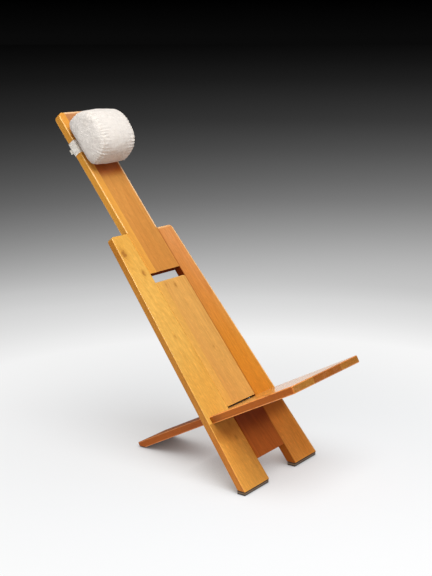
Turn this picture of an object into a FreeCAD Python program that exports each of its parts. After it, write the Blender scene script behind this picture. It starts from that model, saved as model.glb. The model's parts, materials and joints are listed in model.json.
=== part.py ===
import FreeCAD, Part
import math
import os

import Sketcher

# A reclining plank chair in two halves. The tall back stands on two feet and carries a neck board with a
# headrest. The seat is a second plank, whose narrow tail passes through a slot in the back to the floor.
# Lengths are millimetres and angles degrees. +Z is up, +X is the sitter's left, the chair faces -Y, and
# the origin lies on the floor under the middle of the chair.

OUT = "parts"
SHEET = "Sizes"

# The driving sizes: name, value, what it measures.
SIZES = (
    ("back_lean_angle", 38.0, "lean of the back from upright"),
    ("seat_rise_angle", 27.9, "rise of the seat towards its front"),
    ("rail_thickness", 22.0, "thickness of the two side rails"),
    ("panel_proud", 2.0, "how far the middle boards stand in front of the rails"),
    ("foot_spread", 385.0, "width over the rails at the floor"),
    ("shoulder_spread", 285.0, "width over the rails at the shoulders"),
    ("middle_width", 140.0, "width of the neck and of the panels below it"),
    ("shoulder_reach", 838.6, "floor to shoulders, along the back"),
    ("neck_reach", 1272.6, "floor to the top of the neck, along the back"),
    ("pale_stave_width", 28.0, "width of the neck's narrow stave"),
    ("hand_slot_reach", 668.6, "floor to the lower edge of the hand slot, along the back"),
    ("hand_slot_height", 29.0, "height of the hand slot"),
    ("lower_panel_reach", 80.6, "floor to the lower panel, along the back"),
    ("seat_reach", 244.4, "floor to the seat's top face, along the back"),
    ("seat_thickness", 22.0, "thickness of the seat boards"),
    ("seat_depth", 313.4, "front of the back to the seat's front end"),
    ("seat_back_width", 328.0, "width of the seat where it meets the back"),
    ("seat_front_width", 358.0, "width of the seat at its front end"),
    ("tail_foot_length", 25.0, "how far the tail runs on from where its underside meets its felt"),
    ("tail_side_clearance", 1.5, "room beside the tail in its slot"),
    ("slot_clearance", 0.5, "room above and below the tail in its slot"),
    ("arris_radius", 3.0, "rounding of the long edges"),
    ("tail_arris_radius", 2.0, "rounding of the tail's edges"),
    ("panel_arris_radius", 2.5, "rounding of the middle boards' front edges"),
    ("panel_top_radius", 6.0, "rounding of the centre panel's top edge"),
    ("shoulder_radius", 12.0, "rounding of the shoulders' corners"),
    ("neck_corner_radius", 20.0, "rounding of the neck's top corners"),
    ("seat_corner_radius", 6.0, "rounding of the seat's front corners"),
    ("tail_corner_radius", 6.0, "rounding of the tail's end corners"),
    ("dowel_diameter", 10.0, "thickness of the dowels"),
    ("dowel_length", 50.0, "length of the dowels"),
    ("dowel_clearance", 0.1, "room round a dowel for glue"),
    ("dowel_end_gap", 1.0, "room past the end of a dowel"),
    ("dowel_margin", 34.0, "first dowel's distance from the end of its joint"),
    ("foot_felt_thickness", 8.0, "thickness of the felt under a foot"),
    ("foot_backing_thickness", 4.0, "thickness of the dark layer above that felt"),
    ("tail_felt_thickness", 4.5, "thickness of the felt under the tail"),
    ("pad_inset", 1.0, "how far the pads lie inside the wood above them"),
    ("headrest_reach", 1150.0, "floor to the middle of the headrest, along the back"),
    ("headrest_height", 159.0, "headrest's size along the back"),
    ("headrest_depth", 116.0, "headrest's size out from the neck"),
    ("headrest_length", 133.0, "headrest's size across, from seam to seam"),
    ("headrest_crown", 20.0, "bulge of the headrest's ends past the seams"),
    ("headrest_draw_in", 3.7, "how much less the headrest is at its seams than at its middle, all round"),
    ("cover_thickness", 2.0, "thickness of the headrest's cover"),
    ("strap_reach", 1128.6, "floor to the strap's lower edge, along the back"),
    ("strap_width", 44.0, "width of the strap"),
    ("strap_thickness", 1.5, "thickness of the strap"),
    ("strap_clearance", 0.4, "room between the strap and the neck"),
    ("strap_corner_radius", 4.0, "outer rounding of the strap's corners"),
    ("strap_end_length", 12.0, "how far the strap's loose end stands out behind"),
    ("strap_end_width", 14.0, "width of the loose end across the neck"),
    ("strap_end_height", 20.0, "height of the loose end along the neck"),
    ("strap_end_setback", 4.0, "loose end's distance from the neck's edge"),
    ("strap_end_radius", 3.0, "rounding of the loose end"),
    ("overrun", 10.0, "how far a cut runs past the wood"),
)

# Dowels along each joint.
NECK_DOWELS = 2
CENTRE_PANEL_DOWELS = 4
LOWER_PANEL_DOWELS = 2
SEAT_DOWELS = 3

# The headrest's rounding, as shares of its depth.
FRONT_ROUNDING_SHARE = 0.6
REAR_ROUNDING_SHARE = 0.18
# Where the headrest's sections lie across it, as shares of half its length, the middle being 0.
TUBE_STATION_SHARES = (-1.0, -0.8, -0.45, 0.0, 0.45, 0.8, 1.0)
# The sections of a domed end, as shares of the seam's size: each lies on a quarter ellipse.
DOME_SECTION_SHARES = (1.0, 0.93, 0.78, 0.55, 0.25)


class Size:
    """A length or an angle: its value, and the expression in the sheet's names that gives it."""

    def __init__(self, value, text):
        self.value = value
        self.text = text

    @staticmethod
    def of(other):
        return other if isinstance(other, Size) else Size(float(other), repr(other))

    def joined(self, other, sign, value):
        return Size(value, "(%s %s %s)" % (self.text, sign, Size.of(other).text))

    def __add__(self, other):
        return self.joined(other, "+", self.value + Size.of(other).value)

    def __sub__(self, other):
        return self.joined(other, "-", self.value - Size.of(other).value)

    def __mul__(self, other):
        return self.joined(other, "*", self.value * Size.of(other).value)

    def __truediv__(self, other):
        return self.joined(other, "/", self.value / Size.of(other).value)

    def __neg__(self):
        return Size(-self.value, "(0 - %s)" % self.text)


def sine(angle):
    return Size(math.sin(math.radians(angle.value)), "sin(%s)" % angle.text)


def cosine(angle):
    return Size(math.cos(math.radians(angle.value)), "cos(%s)" % angle.text)


def tangent(angle):
    return Size(math.tan(math.radians(angle.value)), "tan(%s)" % angle.text)


doc = FreeCAD.newDocument("PlankChair")


def make_sheet():
    """Fills the sheet and returns the driving sizes by name."""
    sheet = doc.addObject("Spreadsheet::Sheet", SHEET)
    found = {}
    for row, (name, value, meaning) in enumerate(SIZES, 1):
        sheet.set("A%d" % row, name)
        sheet.set("B%d" % row, str(value))
        sheet.set("C%d" % row, meaning)
        sheet.setAlias("B%d" % row, name)
        found[name] = Size(value, "%s.%s" % (SHEET, name))
    doc.recompute()
    return found


at = make_sheet()

# What follows from the driving sizes. The back's own frame has x across, y up along the front of the rails
# from the floor, and z out of the front. The seat's own frame has y backwards along its top face from the
# front of the rails, and z up out of the top face.
recline = at["back_lean_angle"]
pitch = at["seat_rise_angle"]
slant = recline - pitch
zero = Size.of(0)
rail = at["rail_thickness"]
proud = at["panel_proud"]
middle_thickness = rail + proud
half_middle = at["middle_width"] / 2
half_foot = at["foot_spread"] / 2
half_shoulder = at["shoulder_spread"] / 2
shoulder = at["shoulder_reach"]
neck_top = at["neck_reach"]
hand_slot_low = at["hand_slot_reach"]
hand_slot_high = hand_slot_low + at["hand_slot_height"]
seat_line = at["seat_reach"]
seat_slab = at["seat_thickness"]
tail_slot_high = seat_line + rail * tangent(slant) + at["slot_clearance"]
tail_slot_low = seat_line - seat_slab / cosine(slant) - proud * tangent(slant) - at["slot_clearance"]
half_tail = half_middle - at["tail_side_clearance"]
tail_drop = seat_line * cosine(recline) - at["tail_felt_thickness"]
tail_under = (tail_drop - seat_slab * cosine(pitch)) / sine(pitch)
tail_end = tail_under + at["tail_foot_length"]
foot_pad = at["foot_felt_thickness"] + at["foot_backing_thickness"]
arris = at["arris_radius"]
overrun = at["overrun"]

# The chair's furthest points in front of and behind the line where the rails' fronts meet the floor, with
# their rounded edges, put that line at this place behind the origin.
front_reach = (
    at["seat_depth"] * cosine(pitch) + seat_slab * sine(pitch) - seat_line * sine(recline)
    - arris * (cosine(pitch) + sine(pitch) - 1)
)
rear_reach = (
    neck_top * sine(recline) + rail * cosine(recline) - arris * (sine(recline) + cosine(recline) - 1)
)
foot_line = (front_reach - rear_reach) / 2


def origin_plane(body, role):
    """The body's own plane or axis of that role."""
    return next(feature for feature in body.Origin.OriginFeatures if feature.Role == role)


def new_body(name):
    body = doc.addObject("PartDesign::Body", name)
    body.Label = name
    return body


def new_sketch(body, name, role, offset=None):
    """A sketch on one of the body's planes, moved along the plane's normal by offset."""
    sketch = body.newObject("Sketcher::SketchObject", name)
    sketch.AttachmentSupport = [(origin_plane(body, role), "")]
    sketch.MapMode = "FlatFace"
    if offset is not None:
        sketch.setExpression(".AttachmentOffset.Base.z", offset.text)
    return sketch


def pin_point(sketch, name, geometry, vertex, place):
    """Ties a point of the sketch to its place, a pair of sizes from the sketch's origin."""
    for kind, size in zip(("DistanceX", "DistanceY"), place):
        label = "%s_%s" % (name, kind[-1].lower())
        index = sketch.addConstraint(Sketcher.Constraint(kind, -1, 1, geometry, vertex, size.value))
        sketch.renameConstraint(index, label)
        sketch.setExpression("Constraints." + label, size.text)


def add_polygon(sketch, corners, name="corner"):
    """Draws a closed outline through the corners, each of them tied to the sheet."""
    points = [FreeCAD.Vector(across.value, along.value, 0) for across, along in corners]
    first = sketch.GeometryCount
    count = len(points)
    for i in range(count):
        sketch.addGeometry(Part.LineSegment(points[i], points[(i + 1) % count]), False)
    for i in range(count):
        sketch.addConstraint(Sketcher.Constraint("Coincident", first + i, 2, first + (i + 1) % count, 1))
        pin_point(sketch, "%s%d" % (name, i + 1), first + i, 1, corners[i])


def pad_back(body, name, sketch, thickness):
    """Thickens the sketch against its plane's normal."""
    pad = body.newObject("PartDesign::Pad", name)
    pad.Profile = sketch
    pad.Reversed = True
    pad.setExpression("Length", thickness.text)
    doc.recompute()
    return pad


def cut_across(body, name, corners):
    """Cuts an outline, drawn in the body's side view, through its whole width."""
    sketch = new_sketch(body, name + "Profile", "YZ_Plane")
    add_polygon(sketch, corners)
    before = body.Shape.Volume
    pocket = body.newObject("PartDesign::Pocket", name)
    pocket.Profile = sketch
    pocket.Type = "ThroughAll"
    pocket.Midplane = True
    doc.recompute()
    if pocket.Shape.Volume >= before:
        raise RuntimeError("%s of %s cuts nothing" % (name, body.Label))


def bore_row(body, name, face, side, first, last, count, height):
    """Bores a row of dowel holes into an edge of a board.

    face is the edge's place across the board and side the way the holes run, 1 or -1. first and last are the
    end holes' places along the board, and height is their place through its thickness.
    """
    sketch = new_sketch(body, name + "Mark", "YZ_Plane", face)
    centre = FreeCAD.Vector(first.value, height.value, 0)
    radius = at["dowel_diameter"] / 2 + at["dowel_clearance"]
    sketch.addGeometry(Part.Circle(centre, FreeCAD.Vector(0, 0, 1), radius.value), False)
    pin_point(sketch, "centre", 0, 3, (first, height))
    index = sketch.addConstraint(Sketcher.Constraint("Radius", 0, radius.value))
    sketch.renameConstraint(index, "radius")
    sketch.setExpression("Constraints.radius", radius.text)
    before = body.Shape.Volume
    bore = body.newObject("PartDesign::Pocket", name)
    bore.Profile = sketch
    bore.Reversed = side > 0
    bore.setExpression("Length", (at["dowel_length"] / 2 + at["dowel_end_gap"]).text)
    doc.recompute()
    row = body.newObject("PartDesign::LinearPattern", name + "Row")
    row.Originals = [bore]
    row.Direction = (origin_plane(body, "Y_Axis"), [""])
    row.setExpression("Length", (last - first).text)
    row.Occurrences = count
    body.Tip = row
    doc.recompute()
    if row.Shape.Volume >= before:
        raise RuntimeError("%s of %s cuts nothing" % (name, body.Label))


def round_edges(body, name, radius, chosen):
    """Rounds the edges for which chosen(x, y, z, edge) holds at the edge's middle."""
    wood = body.Tip
    names = []
    for index, edge in enumerate(wood.Shape.Edges, 1):
        middle = edge.valueAt((edge.FirstParameter + edge.LastParameter) / 2)
        if chosen(middle.x, middle.y, middle.z, edge):
            names.append("Edge%d" % index)
    if not names:
        raise RuntimeError("%s of %s finds no edge" % (name, body.Label))
    fillet = body.newObject("PartDesign::Fillet", name)
    fillet.Base = (wood, names)
    fillet.setExpression("Radius", radius.text)
    body.Tip = fillet
    doc.recompute()


RIGHT_ANGLE = 90
PARALLEL_TOLERANCE = 1e-6
ACROSS = FreeCAD.Vector(1, 0, 0)
ALONG = FreeCAD.Vector(0, 1, 0)
THROUGH = FreeCAD.Vector(0, 0, 1)


def near(value, size):
    """Whether a coordinate equals a size, to a hundredth of the dowels' clearance."""
    return abs(value - size.value) < at["dowel_clearance"].value / 100


def runs_along(edge, direction):
    """Whether a straight edge runs in that direction."""
    if not isinstance(edge.Curve, Part.Line):
        return False
    return abs(abs(edge.Curve.Direction.dot(direction)) - 1) < PARALLEL_TOLERANCE


def lean_with_back(item):
    """Puts a piece drawn in the back's own frame in its place."""
    turn = FreeCAD.Rotation(ACROSS, RIGHT_ANGLE - recline.value)
    item.Placement = FreeCAD.Placement(FreeCAD.Vector(), turn)
    item.setExpression(".Placement.Base.y", foot_line.text)
    item.setExpression(".Placement.Rotation.Angle", (Size.of(RIGHT_ANGLE) - recline).text)


def pitch_with_seat(item):
    """Puts a piece drawn in the seat's own frame in its place."""
    item.Placement = FreeCAD.Placement(FreeCAD.Vector(), FreeCAD.Rotation(-ACROSS, pitch.value))
    item.setExpression(".Placement.Base.y", (foot_line + seat_line * sine(recline)).text)
    item.setExpression(".Placement.Base.z", (seat_line * cosine(recline)).text)
    item.setExpression(".Placement.Rotation.Angle", pitch.text)


def signed(size, side):
    return size if side > 0 else -size


def rail_edge_x(reach):
    """How far from the middle a rail's outer edge is at that reach along the back."""
    return half_foot - (half_foot - half_shoulder) * reach / shoulder


# The joints of the back: name, lower end, upper end, how many dowels a side.
BACK_JOINTS = (
    ("Neck", hand_slot_high, shoulder, NECK_DOWELS),
    ("CentrePanel", tail_slot_high, hand_slot_low, CENTRE_PANEL_DOWELS),
    ("LowerPanel", at["lower_panel_reach"], tail_slot_low, LOWER_PANEL_DOWELS),
)
rail_middle = -rail / 2


def bore_back_joint(body, joint, face, side):
    name, low, high, count = joint
    margin = at["dowel_margin"]
    bore_row(body, name + ("Left" if side > 0 else "Right") + "Bore", face, side, low + margin, high - margin,
             count, rail_middle)


def make_side_rail(name, side):
    """A side rail: straight inside, tapering outside, cut level at the foot and rounded at the shoulder."""
    body = new_body(name)
    sketch = new_sketch(body, "Outline", "XY_Plane")
    corners = [
        (signed(half_middle, side), zero),
        (signed(half_foot, side), zero),
        (signed(half_shoulder, side), shoulder),
        (signed(half_middle, side), shoulder),
    ]
    add_polygon(sketch, corners)
    pad_back(body, "Plank", sketch, rail)
    front_cut = (foot_pad - overrun * sine(recline)) / cosine(recline)
    back_cut = (foot_pad + (rail + overrun) * sine(recline)) / cosine(recline)
    cut_across(body, "FootCut", [
        (front_cut, overrun),
        (back_cut, -(rail + overrun)),
        (-overrun, -(rail + overrun)),
        (-overrun, overrun),
    ])
    for joint in BACK_JOINTS:
        bore_back_joint(body, joint, signed(half_middle, side), side)
    outer = signed(half_shoulder, side)
    round_edges(body, "ShoulderCorner", at["shoulder_radius"],
                lambda x, y, z, edge: runs_along(edge, THROUGH) and near(x, outer) and near(y, shoulder))

    def outer_arris(x, y, z, edge):
        on_face = near(z, zero) or near(z, -rail)
        return on_face and (near(y, shoulder) or near(x, signed(rail_edge_x(Size.of(y)), side)))

    round_edges(body, "Arrises", arris, outer_arris)
    lean_with_back(body)


def make_middle_board(name, left, right, low, high):
    """The plain slab of a board between the rails, its front proud of theirs."""
    body = new_body(name)
    sketch = new_sketch(body, "Outline", "XY_Plane", proud)
    add_polygon(sketch, [(left, low), (right, low), (right, high), (left, high)])
    pad_back(body, "Plank", sketch, middle_thickness)
    return body


def make_neck_stave(name, left, right, side):
    """One of the two boards glued edge to edge into the neck; side is the one with its outer edge."""
    body = make_middle_board(name, left, right, hand_slot_high, neck_top)
    face = signed(half_middle, side)
    bore_back_joint(body, BACK_JOINTS[0], face, -side)
    round_edges(body, "TopCorner", at["neck_corner_radius"],
                lambda x, y, z, edge: runs_along(edge, THROUGH) and near(x, face) and near(y, neck_top))

    def outer_arris(x, y, z, edge):
        on_face = near(z, proud) or near(z, -rail)
        return on_face and (near(x, face) or near(y, neck_top))

    round_edges(body, "Arrises", arris, outer_arris)
    lean_with_back(body)


def make_panel(name, joint):
    """A panel between the rails, with both its edges bored for dowels and its front edges rounded."""
    low, high = joint[1], joint[2]
    body = make_middle_board(name, -half_middle, half_middle, low, high)
    bore_back_joint(body, joint, half_middle, -1)
    bore_back_joint(body, joint, -half_middle, 1)
    round_edges(body, "FrontArrises", at["panel_arris_radius"],
                lambda x, y, z, edge: near(z, proud) and (near(x, half_middle) or near(x, -half_middle)))
    return body


def make_centre_panel():
    """The panel behind the sitter's back, its top edge well rounded for the hand that lifts the chair."""
    body = make_panel("centre_panel", BACK_JOINTS[1])
    round_edges(body, "HandEdge", at["panel_top_radius"],
                lambda x, y, z, edge: near(y, hand_slot_low) and near(z, proud) and runs_along(edge, ACROSS))
    lean_with_back(body)


def make_lower_panel():
    """The panel between the legs, which carries the underside of the tail."""
    lean_with_back(make_panel("lower_panel", BACK_JOINTS[2]))


def make_dowels(name, joints, height, place):
    """The dowels of some joints as one group; joints gives first and last places along, count and face."""
    dowels = []
    radius = at["dowel_diameter"] / 2
    length = at["dowel_length"]
    lying = FreeCAD.Rotation(ALONG, RIGHT_ANGLE)
    for first, last, count, face in joints:
        for i in range(count):
            dowel = doc.addObject("Part::Cylinder", "%s_%d" % (name, len(dowels) + 1))
            dowel.Placement = FreeCAD.Placement(FreeCAD.Vector(), lying)
            dowel.setExpression("Radius", radius.text)
            dowel.setExpression("Height", length.text)
            dowel.setExpression(".Placement.Base.x", (face - length / 2).text)
            dowel.setExpression(".Placement.Base.y", (first + (last - first) * i / (count - 1)).text)
            dowel.setExpression(".Placement.Base.z", height.text)
            dowels.append(dowel)
    group = doc.addObject("Part::Compound", name)
    group.Label = name
    group.Links = dowels
    place(group)


def make_back_dowels(name, joint):
    margin = at["dowel_margin"]
    _, low, high, count = joint
    ends = (low + margin, high - margin, count)
    make_dowels(name, [ends + (-half_middle,), ends + (half_middle,)], rail_middle, lean_with_back)


def make_foot_layer(name, side, thickness, level):
    """One layer of the pad under a foot, as long and wide as the wood above it less the inset."""
    body = new_body(name)
    inset = at["pad_inset"]
    foot_back = (foot_pad + rail * sine(recline)) / cosine(recline)
    near_x = signed(half_middle + inset, side)
    far_x = signed(rail_edge_x(foot_back) - inset, side)
    front = foot_pad * tangent(recline) + inset
    rear = foot_pad * tangent(recline) + rail / cosine(recline) - inset
    sketch = new_sketch(body, "Outline", "XY_Plane", level + thickness)
    add_polygon(sketch, [(near_x, front), (far_x, front), (far_x, rear), (near_x, rear)])
    pad_back(body, "Layer", sketch, thickness)
    body.setExpression(".Placement.Base.y", foot_line.text)


seat_front = -at["seat_depth"]
half_seat_back = at["seat_back_width"] / 2
half_seat_front = at["seat_front_width"] / 2
seat_middle = -seat_slab / 2
shoulder_slant = tangent(slant)


def make_seat_centre():
    """The seat's middle board, which runs on behind the back as the tail and is cut level at the floor."""
    body = new_body("seat_centre_board")
    sketch = new_sketch(body, "Outline", "XY_Plane")
    step = -seat_slab * shoulder_slant
    add_polygon(sketch, [
        (-half_middle, seat_front),
        (half_middle, seat_front),
        (half_middle, step),
        (half_tail, step),
        (half_tail, tail_end),
        (-half_tail, tail_end),
        (-half_tail, step),
        (-half_middle, step),
    ])
    pad_back(body, "Plank", sketch, seat_slab)
    top_cut = (tail_drop + overrun * cosine(pitch)) / sine(pitch)
    under_cut = (tail_drop - (seat_slab + overrun) * cosine(pitch)) / sine(pitch)
    past_end = tail_end + top_cut
    cut_across(body, "TailCut", [
        (top_cut, overrun),
        (under_cut, -(seat_slab + overrun)),
        (past_end, -(seat_slab + overrun)),
        (past_end, overrun),
    ])
    margin = at["dowel_margin"]
    for side in (-1, 1):
        bore_row(body, ("Left" if side > 0 else "Right") + "Bore", signed(half_middle, side), -side,
                 seat_front + margin, -margin, SEAT_DOWELS, seat_middle)
    round_edges(body, "TailCorners", at["tail_corner_radius"],
                lambda x, y, z, edge: runs_along(edge, THROUGH) and near(y, tail_end))
    round_edges(body, "FrontArrises", arris,
                lambda x, y, z, edge: near(y, seat_front) and runs_along(edge, ACROSS))
    round_edges(body, "TailArrises", at["tail_arris_radius"],
                lambda x, y, z, edge: (near(z, zero) or near(z, -seat_slab))
                and (near(x, half_tail) or near(x, -half_tail)))
    pitch_with_seat(body)


def make_seat_side(name, side):
    """A side board of the seat, its rear end cut to bear on the front of the rail."""
    body = new_body(name)
    sketch = new_sketch(body, "Outline", "XY_Plane")
    taper = (half_seat_front - half_seat_back) / at["seat_depth"]
    add_polygon(sketch, [
        (signed(half_middle, side), seat_front),
        (signed(half_seat_front, side), seat_front),
        (signed(half_seat_back - taper * overrun, side), overrun),
        (signed(half_middle, side), overrun),
    ])
    pad_back(body, "Plank", sketch, seat_slab)
    cut_across(body, "ShoulderCut", [
        (overrun * shoulder_slant, overrun),
        (-(seat_slab + overrun) * shoulder_slant, -(seat_slab + overrun)),
        (overrun * 2, -(seat_slab + overrun)),
        (overrun * 2, overrun),
    ])
    margin = at["dowel_margin"]
    bore_row(body, "Bore", signed(half_middle, side), side,
             seat_front + margin, -margin, SEAT_DOWELS, seat_middle)
    round_edges(body, "FrontCorner", at["seat_corner_radius"],
                lambda x, y, z, edge: runs_along(edge, THROUGH) and near(x, signed(half_seat_front, side)))

    def outer_arris(x, y, z, edge):
        on_face = near(z, zero) or near(z, -seat_slab)
        return on_face and (near(y, seat_front) or near(x, signed(half_seat_back - taper * y, side)))

    round_edges(body, "Arrises", arris, outer_arris)
    pitch_with_seat(body)


def make_tail_felt():
    """The felt under the level end of the tail, inside the tail's own thickness so that it fits the slot."""
    body = new_body("tail_pad")
    felt = at["tail_felt_thickness"]
    inset = at["pad_inset"]
    floor_under = (seat_line * cosine(recline) - seat_slab * cosine(pitch)) / sine(pitch)
    front = floor_under * cosine(pitch) - seat_slab * sine(pitch) + inset
    end_height = (tail_end * sine(pitch) - tail_drop) / cosine(pitch)
    rear = tail_end * cosine(pitch) + end_height * sine(pitch) - inset
    half = half_tail - at["tail_corner_radius"]
    sketch = new_sketch(body, "Outline", "XY_Plane", felt)
    add_polygon(sketch, [(-half, front), (half, front), (half, rear), (-half, rear)])
    pad_back(body, "Felt", sketch, felt)
    body.setExpression(".Placement.Base.y", (foot_line + seat_line * sine(recline)).text)


def oval_wire(x, middle, rear, height, depth, share):
    """A flat-backed oval in the plane at x: the headrest's section, drawn in to a share about its middle."""
    half = height * share / 2
    deep = depth * share
    back = rear + (depth - deep) / 2
    front_round = deep * FRONT_ROUNDING_SHARE
    rear_round = deep * REAR_ROUNDING_SHARE
    low, high, face = middle - half, middle + half, back + deep
    turn = 1 - math.sqrt(0.5)

    def point(y, z):
        return FreeCAD.Vector(x, y, z)

    edges = [
        Part.LineSegment(point(low + rear_round, back), point(high - rear_round, back)),
        Part.Arc(point(high - rear_round, back), point(high - rear_round * turn, back + rear_round * turn),
                 point(high, back + rear_round)),
        Part.LineSegment(point(high, back + rear_round), point(high, face - front_round)),
        Part.Arc(point(high, face - front_round), point(high - front_round * turn, face - front_round * turn),
                 point(high - front_round, face)),
        Part.LineSegment(point(high - front_round, face), point(low + front_round, face)),
        Part.Arc(point(low + front_round, face), point(low + front_round * turn, face - front_round * turn),
                 point(low, face - front_round)),
        Part.LineSegment(point(low, face - front_round), point(low, back + rear_round)),
        Part.Arc(point(low, back + rear_round), point(low + rear_round * turn, back + rear_round * turn),
                 point(low + rear_round, back)),
    ]
    return Part.Wire([edge.toShape() for edge in edges])


def headrest_sections(skin):
    """The headrest's measures in a layer that lies skin inside its outer face."""
    rear = proud.value + at["strap_clearance"].value + at["strap_thickness"].value
    middle = at["headrest_reach"].value
    height = at["headrest_height"].value - 2 * skin
    depth = at["headrest_depth"].value - 2 * skin
    return middle, rear + skin, height, depth


def headrest_tube(skin):
    """The headrest between its two seams, fullest in the middle, with its back flat against the neck."""
    middle, rear, height, depth = headrest_sections(skin)
    half = at["headrest_length"].value / 2
    draw_in = at["headrest_draw_in"].value
    wires = []
    for share in TUBE_STATION_SHARES:
        less = draw_in * share * share
        wires.append(oval_wire(half * share, middle, rear, height - 2 * less, depth - 2 * less, 1))
    return Part.makeLoft(wires, True, False)


def headrest_dome(skin, side):
    """A crowned end of the headrest, from its seam outwards."""
    middle, rear, height, depth = headrest_sections(skin)
    half = at["headrest_length"].value / 2
    draw_in = at["headrest_draw_in"].value
    crown = at["headrest_crown"].value - skin
    wires = []
    for share in DOME_SECTION_SHARES:
        out = half + crown * math.sqrt(1 - share * share)
        wires.append(oval_wire(side * out, middle, rear, height - 2 * draw_in, depth - 2 * draw_in, share))
    return Part.makeLoft(wires, True, False)


def add_soft(name, shape):
    item = doc.addObject("Part::Feature", name)
    item.Label = name
    item.Shape = shape
    lean_with_back(item)


def make_headrest():
    """The headrest: its filling, and the cover's tube and two end panels round it."""
    skin = at["cover_thickness"].value
    inner_tube = headrest_tube(skin)
    inner_domes = {side: headrest_dome(skin, side) for side in (-1, 1)}
    add_soft("headrest_cover", headrest_tube(0).cut(inner_tube))
    for name, side in (("headrest_end_right", -1), ("headrest_end_left", 1)):
        add_soft(name, headrest_dome(0, side).cut(inner_domes[side]))
    add_soft("headrest_filling", inner_tube.fuse([inner_domes[-1], inner_domes[1]]).removeSplitter())


def make_strap():
    """The strap: a flat band sewn into a loop round the neck, which carries the headrest."""
    body = new_body("headrest_strap")
    room = at["strap_clearance"]
    band = at["strap_thickness"]
    side = half_middle + room
    front = proud + room
    rear = -(rail + room)
    low = at["strap_reach"]
    sketch = new_sketch(body, "Loop", "XZ_Plane", -low)
    add_polygon(sketch, [
        (-(side + band), rear - band), (side + band, rear - band),
        (side + band, front + band), (-(side + band), front + band),
    ], "outer")
    add_polygon(sketch, [(-side, rear), (side, rear), (side, front), (-side, front)], "inner")
    pad_back(body, "Band", sketch, at["strap_width"])
    outer = side + band
    round_edges(body, "OuterCorners", at["strap_corner_radius"],
                lambda x, y, z, edge: runs_along(edge, ALONG) and (near(x, outer) or near(x, -outer)))
    round_edges(body, "InnerCorners", at["strap_corner_radius"] - band,
                lambda x, y, z, edge: runs_along(edge, ALONG) and (near(x, side) or near(x, -side))
                and (near(z, front) or near(z, rear)))
    lean_with_back(body)


def make_strap_end():
    """The strap's loose end, folded and standing out behind the neck's right edge."""
    body = new_body("strap_loose_end")
    back = -(rail + at["strap_clearance"] + at["strap_thickness"])
    left = -half_middle + at["strap_end_setback"]
    low = at["strap_reach"] + (at["strap_width"] - at["strap_end_height"]) / 2
    sketch = new_sketch(body, "Fold", "XY_Plane", back)
    right = left + at["strap_end_width"]
    high = low + at["strap_end_height"]
    add_polygon(sketch, [(left, low), (right, low), (right, high), (left, high)])
    pad_back(body, "Tab", sketch, at["strap_end_length"])
    straight = back - at["strap_end_radius"]
    round_edges(body, "Soft", at["strap_end_radius"], lambda x, y, z, edge: z < straight.value)
    lean_with_back(body)


def build():
    make_side_rail("side_rail_right", -1)
    make_side_rail("side_rail_left", 1)
    joint_line = -half_middle + at["pale_stave_width"]
    make_neck_stave("neck_narrow_stave", -half_middle, joint_line, -1)
    make_neck_stave("neck_broad_stave", joint_line, half_middle, 1)
    make_centre_panel()
    make_lower_panel()
    make_back_dowels("neck_dowels", BACK_JOINTS[0])
    make_back_dowels("centre_panel_dowels", BACK_JOINTS[1])
    make_back_dowels("lower_panel_dowels", BACK_JOINTS[2])
    felt = at["foot_felt_thickness"]
    for word, side in (("right", -1), ("left", 1)):
        make_foot_layer("foot_felt_" + word, side, felt, zero)
        make_foot_layer("foot_backing_" + word, side, at["foot_backing_thickness"], felt)
    make_seat_centre()
    make_seat_side("seat_side_board_right", -1)
    make_seat_side("seat_side_board_left", 1)
    margin = at["dowel_margin"]
    ends = (seat_front + margin, -margin, SEAT_DOWELS)
    make_dowels("seat_dowels", [ends + (-half_middle,), ends + (half_middle,)], seat_middle, pitch_with_seat)
    make_tail_felt()
    make_headrest()
    make_strap()
    make_strap_end()


NODES = (
    "side_rail_right", "side_rail_left", "neck_narrow_stave", "neck_broad_stave",
    "centre_panel", "lower_panel",
    "neck_dowels", "centre_panel_dowels", "lower_panel_dowels",
    "foot_felt_right", "foot_felt_left", "foot_backing_right", "foot_backing_left",
    "seat_centre_board", "seat_side_board_right", "seat_side_board_left", "seat_dowels", "tail_pad",
    "headrest_cover", "headrest_end_right", "headrest_end_left", "headrest_filling",
    "headrest_strap", "strap_loose_end",
)


def check_and_write():
    """Stops on any failed feature or bad shape, then writes a file for each node."""
    doc.recompute()
    for item in doc.Objects:
        if "Invalid" in item.State or "Error" in item.State:
            raise RuntimeError("%s failed: %s" % (item.Label, item.State))
    os.makedirs(OUT, exist_ok=True)
    for name in NODES:
        shape = doc.getObjectsByLabel(name)[0].Shape
        if shape.isNull() or not shape.isValid() or not shape.Solids:
            raise RuntimeError("%s has no sound shape" % name)
    for name in NODES:
        shape = doc.getObjectsByLabel(name)[0].Shape
        shape.exportStep(os.path.join(OUT, name + ".step"))
        print("%s: %d solid(s), %.1f cm3" % (name, len(shape.Solids), shape.Volume / 1000))


build()
check_and_write()
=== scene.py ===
"""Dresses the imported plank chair: varnished boards, felt pads, and a stuffed headrest on its strap.

Everything is in metres in the chair's own frame: +Z up, +X to the sitter's left, and the chair faces -Y.
The back and the seat each have a leaning frame of their own, in which a point is (across, along, out).
"""

import json
import logging
import math
from dataclasses import dataclass, field
from enum import Enum
from typing import Callable, Iterable, Sequence, Union

import bmesh
import bpy
from bpy.types import Material, Mesh, Node, NodeSocket, Object, World
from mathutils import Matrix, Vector, noise
from mathutils.bvhtree import BVHTree

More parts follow.
